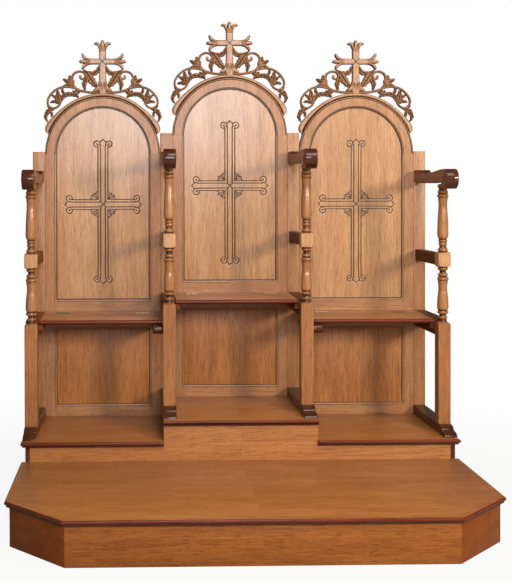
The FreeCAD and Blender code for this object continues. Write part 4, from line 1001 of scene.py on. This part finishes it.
def groove(across, width):
    """1 in the middle of a strip, and less and less to both sides."""
    return np.exp(-(across / width) ** 2)


# Each crown gives a shape and marks; the marks are painted shade in cuts, ribs, veins and along
# the edges.
def stem_crown(along, across):
    """A round stem with a cut a little to one side of its middle."""
    cut = groove(across - 0.15, 0.18)
    end = kept(along * 14) * kept((1 - along) * 14)
    body = np.sqrt(kept(1 - (across * 0.97) ** 2))
    shape = body * (1 - 0.5 * cut) * (0.4 + 0.6 * np.sqrt(end))
    return shape, cut * 0.85 + kept(np.abs(across), 0.70, 0.86)


def leaf_crown(lobes):
    """A leaf that dips along its midrib and swells between its veins."""
    def crown(along, across):
        far, rib = np.abs(across), groove(across, 0.13)
        wave = np.cos(2 * np.pi * (lobes * along - 0.55 * far))
        tip = np.sqrt(kept((1 - along) * 5)) * np.sqrt(kept(along * 9 + 0.15))
        body = np.sqrt(kept(1 - far ** 2.4)) * 0.66 + 0.24 + 0.10 * wave
        veins = kept(-wave - 0.55) * (far < 0.85)
        return body * tip * (1 - 0.45 * rib), rib * 0.8 + veins * 1.2 + kept(far, 0.78, 0.94)
    return crown


def petal_crown(along, across):
    """A full petal with a cut that runs a little way up from its root."""
    far, cut = np.abs(across), groove(across, 0.16) * kept(1.2 - along * 1.7)
    tip = np.sqrt(kept((1 - along) * 6)) * kept(along * 5 + 0.3)
    body = np.sqrt(kept(1 - far ** 2.6)) * 0.8 + 0.2
    return body * tip * (1 - 0.35 * cut), cut * 1.3 + kept(far, 0.62, 0.80) * (along < 0.95)


def plate_crown(along, across):
    """A flat bar with bevelled edges."""
    far = np.abs(across)
    return 1 - 0.9 * kept(far, 0.74), kept(far, 0.82, 0.95) * 0.9


def stem(places, start_width, end_width, low=9.0, rise=9.0, steps=52):
    """A round stem that tapers evenly and is closed at both ends."""
    count = np.arange(steps)
    ends = np.sqrt(kept(np.minimum(count + 0.6, steps - 0.4 - count)))
    half = np.linspace(start_width, end_width, steps) / 2 * ends
    return strip_rings(smooth_line(places, steps), half, stem_crown, low, rise)


def leaf(places, width, lobes=3, low=5.0, rise=14.0, steps=34):
    """A long leaf whose edge swells once for each lobe."""
    along = np.linspace(0, 1, steps)
    body = np.sin(np.pi * kept(along * 0.97 + 0.03) ** 0.80) ** 0.62
    half = width / 2 * body * (1 + 0.11 * np.cos(2 * np.pi * (lobes * along - 0.5))) + 0.35
    return strip_rings(smooth_line(places, steps), half, leaf_crown(lobes), low, rise)


def petal(places, width, low=9.0, rise=14.5, steps=26):
    """A smooth lobe: narrow at its root and round at its tip."""
    half = width / 2 * np.interp(np.linspace(0, 1, steps), [0, 0.25, 0.7, 0.9, 0.97, 1],
                                 [0.60, 0.80, 1, 0.74, 0.42, 0.06])
    return strip_rings(smooth_line(places, steps), half, petal_crown, low, rise, across=11)


def fan(base, length, width, degrees, spread, count, lobes=1.5):
    """Leaves that fan out from one base, the middle one longest."""
    made = []
    for offset in np.arange(count) - (count - 1) / 2:
        turned = math.radians(degrees + spread * offset)
        reach = length * (1 - 0.12 * abs(offset))
        ahead = np.array([math.cos(turned), math.sin(turned)])
        bend = np.array([-ahead[1], ahead[0]]) * (offset * 0.12 * reach)
        spine = [np.array(base), np.array(base) + ahead * reach * 0.5 + bend * 0.35,
                 np.array(base) + ahead * reach + bend]
        made.append(leaf(spine, width, lobes, low=6.0 - 0.8 * abs(offset)))
    return made


def ball(centre, radius, out=15.0):
    """A small dome at the end of a curl."""
    rows = np.linspace(0, np.pi / 2, 7)
    reach = np.concatenate([[radius], radius * np.cos(rows[:-1]), [radius * 0.02]])
    level = np.concatenate([[0.0], out - radius * 0.8 + radius * 0.8 * np.sin(rows)])
    ring = spokes(np.linspace(0, 2 * np.pi, 20, endpoint=False))
    rings = raised(np.array(centre) + reach[:, None, None] * ring, level[:, None])
    return rings, np.zeros(rings.shape[:2])


print("a ball's rings", ball((0, 0), 1.0)[0].shape)

# %% The right-hand half and the cross
def right_stems():
    """The stems on the right of the cross, in mm from the middle of the arch."""
    rim = BAND_OUTER + 4.5
    vine = [(4, rim + 2), (60, rim - 1), (102, 314), (140, 328), (182, 335), (222, 325),
            (252, 302), (271, 272), (270, 245), (250, 229), (228, 233), (212, 250), (208, 268)]
    climb = [(96, 311), (128, 323), (147, 346), (152, 372), (143, 398), (120, 410), (98, 406),
             (87, 392), (91, 377), (105, 373), (115, 383)]
    crest_leaf = [(210, 262), (201, 288), (181, 304), (156, 306), (134, 298), (118, 286)]
    return [stem(vine, 12, 10, steps=110), stem(climb, 14.0, 9.5, steps=84), ball((110, 386), 7.5),
            stem(crest_leaf, 6, 5, low=12, rise=7)]


def right_leaves():
    """The leaves on the right: swag, great leaf, hanging leaf, buds, acanthus and tail."""
    return [
        leaf([(14, 440), (24, 415), (46, 401), (74, 405), (100, 420)], 23, 4, steps=44),
        leaf([(80, 404), (64, 382), (46, 354), (20, 328)], 36, 5),
        leaf([(82, 400), (82, 374), (92, 346), (86, 314)], 25, 4),
        *fan((146, 344), 60, 25, 30, 32, 3), leaf([(150, 350), (164, 368), (162, 390)], 17, 2),
        leaf([(208, 260), (198, 283), (179, 296), (156, 297), (134, 290), (118, 280)], 22, 6,
             steps=46),
        *fan((132, 298), 30, 15, 96, 42, 3), leaf([(190, 300), (200, 314), (196, 330)], 15, 2),
        leaf([(212, 254), (219, 282), (224, 320)], 27, 4),
        leaf([(214, 254), (240, 262), (262, 256)], 17, 2),
        leaf([(214, 256), (238, 284), (256, 296)], 16, 2),
        leaf([(236, 230), (262, 218), (278, 201), (283, 182), (272, 158)], 21, 5, steps=44),
        *fan((254, 222), 32, 15, 16, 50, 2), leaf([(262, 214), (252, 200), (256, 184)], 14, 2)]


def cross_parts():
    """Bars, three-lobed ends, the spreading foot and the cuts of the crossing."""
    neck, arm_neck, foot = CREST_TOP - 44, CROSS_HALF - 42, BAND_OUTER
    share = np.linspace(0, 1, 24)
    upright = np.stack([0 * share, foot - 4 + (neck - foot + 10) * share], axis=1)
    waist = 18.0 - 1.2 * np.sin(np.pi * kept(share * 1.6 - 0.6))
    parts = [strip_rings(upright, waist, plate_crown, 16.0, 5.0)]
    for side in (-1, 1):
        bar = np.stack([(arm_neck + 6) * share * side, np.full(24, BAR_Z)], axis=1)
        parts.append(strip_rings(bar, 16.0 - 2.2 * np.sin(np.pi * share), plate_crown, 16.0, 4.9))
        lobes = [
            (16, 14.5, (8, neck - 24), (13, neck + 2), (24, neck + 24), (43, neck + 23)),
            (20, 14.5, (11, foot + 66), (16, foot + 42), (27, foot + 21), (48, foot + 9)),
            (13, 16.0, (5, foot + 60), (9, foot + 36), (16, foot + 16), (24, foot + 3)),
            (20, 14.5, (arm_neck - 22, BAR_Z), (arm_neck + 14, BAR_Z), (CROSS_HALF + 2, BAR_Z))]
        lobes += [(16, 14.5, (arm_neck - 24, BAR_Z + up * 7), (arm_neck + 2, BAR_Z + up * 11),
                   (CROSS_HALF - 22, BAR_Z + up * 23), (CROSS_HALF - 13, BAR_Z + up * 41))
                  for up in (-1, 1)]
        parts += [petal(np.array(spine) * [side, 1], width, rise=rise)
                  for width, rise, *spine in lobes]
        for up in (-1, 1):
            cut = np.stack([share * 17 * side, BAR_Z + share * 16 * up], axis=1)
            # The cuts of the crossing are darkened fully: painted shade.
            rings, marks = strip_rings(cut, np.full(24, 3.0), plate_crown, 20.8, 0.4)
            parts.append((rings, marks + 1.0))
    parts.append(petal([(0, neck - 22), (0, neck + 18), (0, CREST_TOP)], 22))
    parts.append(petal([(0, foot + 50), (0, foot + 24), (0, foot - 2)], 13))
    return parts


def band_rings():
    """The moulded band that the crest stands on, with an ear at each of its low ends."""
    degrees = np.linspace(-69.5, 69.5, 141)
    share = np.array([0, 0, 0.10, 0.2, 0.34, 0.5, 0.66, 0.8, 0.92, 1.0, 1.0])
    out = np.array([0, 12, 14.5, 17, 18.4, 18.9, 18.4, 17, 14, 10, 0.0])
    wide = np.interp(np.abs(degrees), [0, 40, 52, 60, 65, 68, 69.5], [18, 18.5, 24, 30, 30, 22, 8])
    reach = ARCH_OUTER + 0.3 + wide[:, None] * share
    flat = reach[..., None] * spokes(np.radians(degrees))[:, None, ::-1]
    # Painted shade where the band meets the head, and along its outer edge.
    marks = np.array([0, 1, 1, 0.8, 0, 0, 0, 0, 0.1, 0.7, 0.7])
    return raised(flat, out), np.broadcast_to(marks, flat.shape[:2])


print("cross parts", len(cross_parts()))

# %% Build the crests
right = right_stems()
pale_parts = [band_rings(), *cross_parts(), *right, *map(mirrored, right)]
right = right_leaves()
leaf_parts = [*right, *map(mirrored, right)]
for side in SIDES:
    place = [MIDDLE[side], crest_high.y, SPRING[side]]
    crest = Piece("carved_crest_" + side, OAK_CARVED, OAK_LEAF)
    for wood, parts in enumerate((pale_parts, leaf_parts)):
        for rings, marks in parts:
            aside, up, out = np.moveaxis(rings, -1, 0)
            turned = np.stack([aside, -out, up], axis=-1) * MM
            crest.skin((turned, kept(marks)), place, wood)
    crest.build("crest_" + side, angle=50)
print("crest parts", len(pale_parts) + len(leaf_parts), "points", crest.count)

# %% [markdown]
# ## Floor, backdrop and light
#
# The floor is a pale sheet that runs out of the picture.  To the camera it is nearly white,
# and a share of plain diffuse keeps the stall's shadow on it.  A warm light high on the right
# draws the shadows of the arms across the backs.  A cooler one stands before the stall, where
# the varnish of the arches mirrors it, and a third fills from above.

# %% Floor and world
FLOOR_REACH = 14.0


def pale_floor():
    """Soft diffuse, mixed with plain white for what the camera sees, more so further off."""
    finish = Finish(bpy.data.materials.new("pale floor"))
    seen = finish.node("LightPath", {}, output="Is Camera Ray")
    x, y, z = finish.place()
    mottle = finish.noise(finish.point(x, y, z), 3.0)
    finish.shade(Base_Color=finish.mix(mottle, (0.52, 0.51, 0.50), (0.48, 0.47, 0.46)),
                 Roughness=0.8)
    far = (x * x + y * y).power(0.5).between(1.3, 2.8)
    glow = finish.node("Emission", {"Color": (1, 1, 1, 1), "Strength": 1.0})
    both = finish.node("MixShader", {0: seen * (far * 0.09 + 0.91), 2: glow,
                                     1: Reading(finish, finish.shader.outputs[0])})
    finish.feed(finish.tree.nodes["Material Output"].inputs[0], both)
    return finish.owner


ground_mesh = bpy.data.meshes.new("ground")
corners = [(x * FLOOR_REACH, y * FLOOR_REACH, 0) for x, y in ((-1, -1), (1, -1), (1, 1), (-1, 1))]
ground_mesh.from_pydata(corners, [], [(0, 1, 2, 3)])
dress(ground_mesh, pale_floor())
link("ground", ground_mesh)

studio = Finish(bpy.data.worlds.new("studio"), "Background")
seen = studio.node("LightPath", {}, output="Is Camera Ray")
through = studio.node("LightPath", {}, output="Is Transmission Ray")
strength = studio.node("MapRange", {"Value": studio.number("MAXIMUM", seen, through),
                                    "To Min": 0.13,                # what lights the stall
                                    "To Max": 1.0})                # what the camera sees
bpy.context.scene.world = studio.shade(Color=(1.0, 1.0, 1.0, 1.0), Strength=strength)
print("floor", 2 * FLOOR_REACH, "m across")

# %% Lights
def soft_light(name, place, target, size, watts, tint):
    """A rectangular softbox at a place, turned to a target."""
    lamp = bpy.data.lights.new(name, "AREA")
    lamp.shape, lamp.energy, lamp.color = "RECTANGLE", watts, tint
    lamp.size, lamp.size_y = size
    box = link(name, lamp)
    box.location = place
    box.rotation_mode = "QUATERNION"
    box.rotation_quaternion = (Vector(target) - Vector(place)).to_track_quat("-Z", "Y")


soft_light("window", (4.1, -5.5, 2.65), (0.1, 0.5, 1.0), (1.1, 1.1), 335, (1.0, 0.86, 0.62))
soft_light("sky", (-0.15, -5.2, 2.6), (-0.35, 0.5, 1.7), (2.3, 1.6), 185, (0.82, 0.91, 1.0))
soft_light("ceiling", (0.9, -2.6, 4.6), (0.0, 0.2, 0.4), (3.0, 2.0), 158, (1.0, 0.95, 0.88))
print("lights", len(bpy.data.lights))

# %% The view transform
bpy.context.scene.view_settings.view_transform = "Standard"
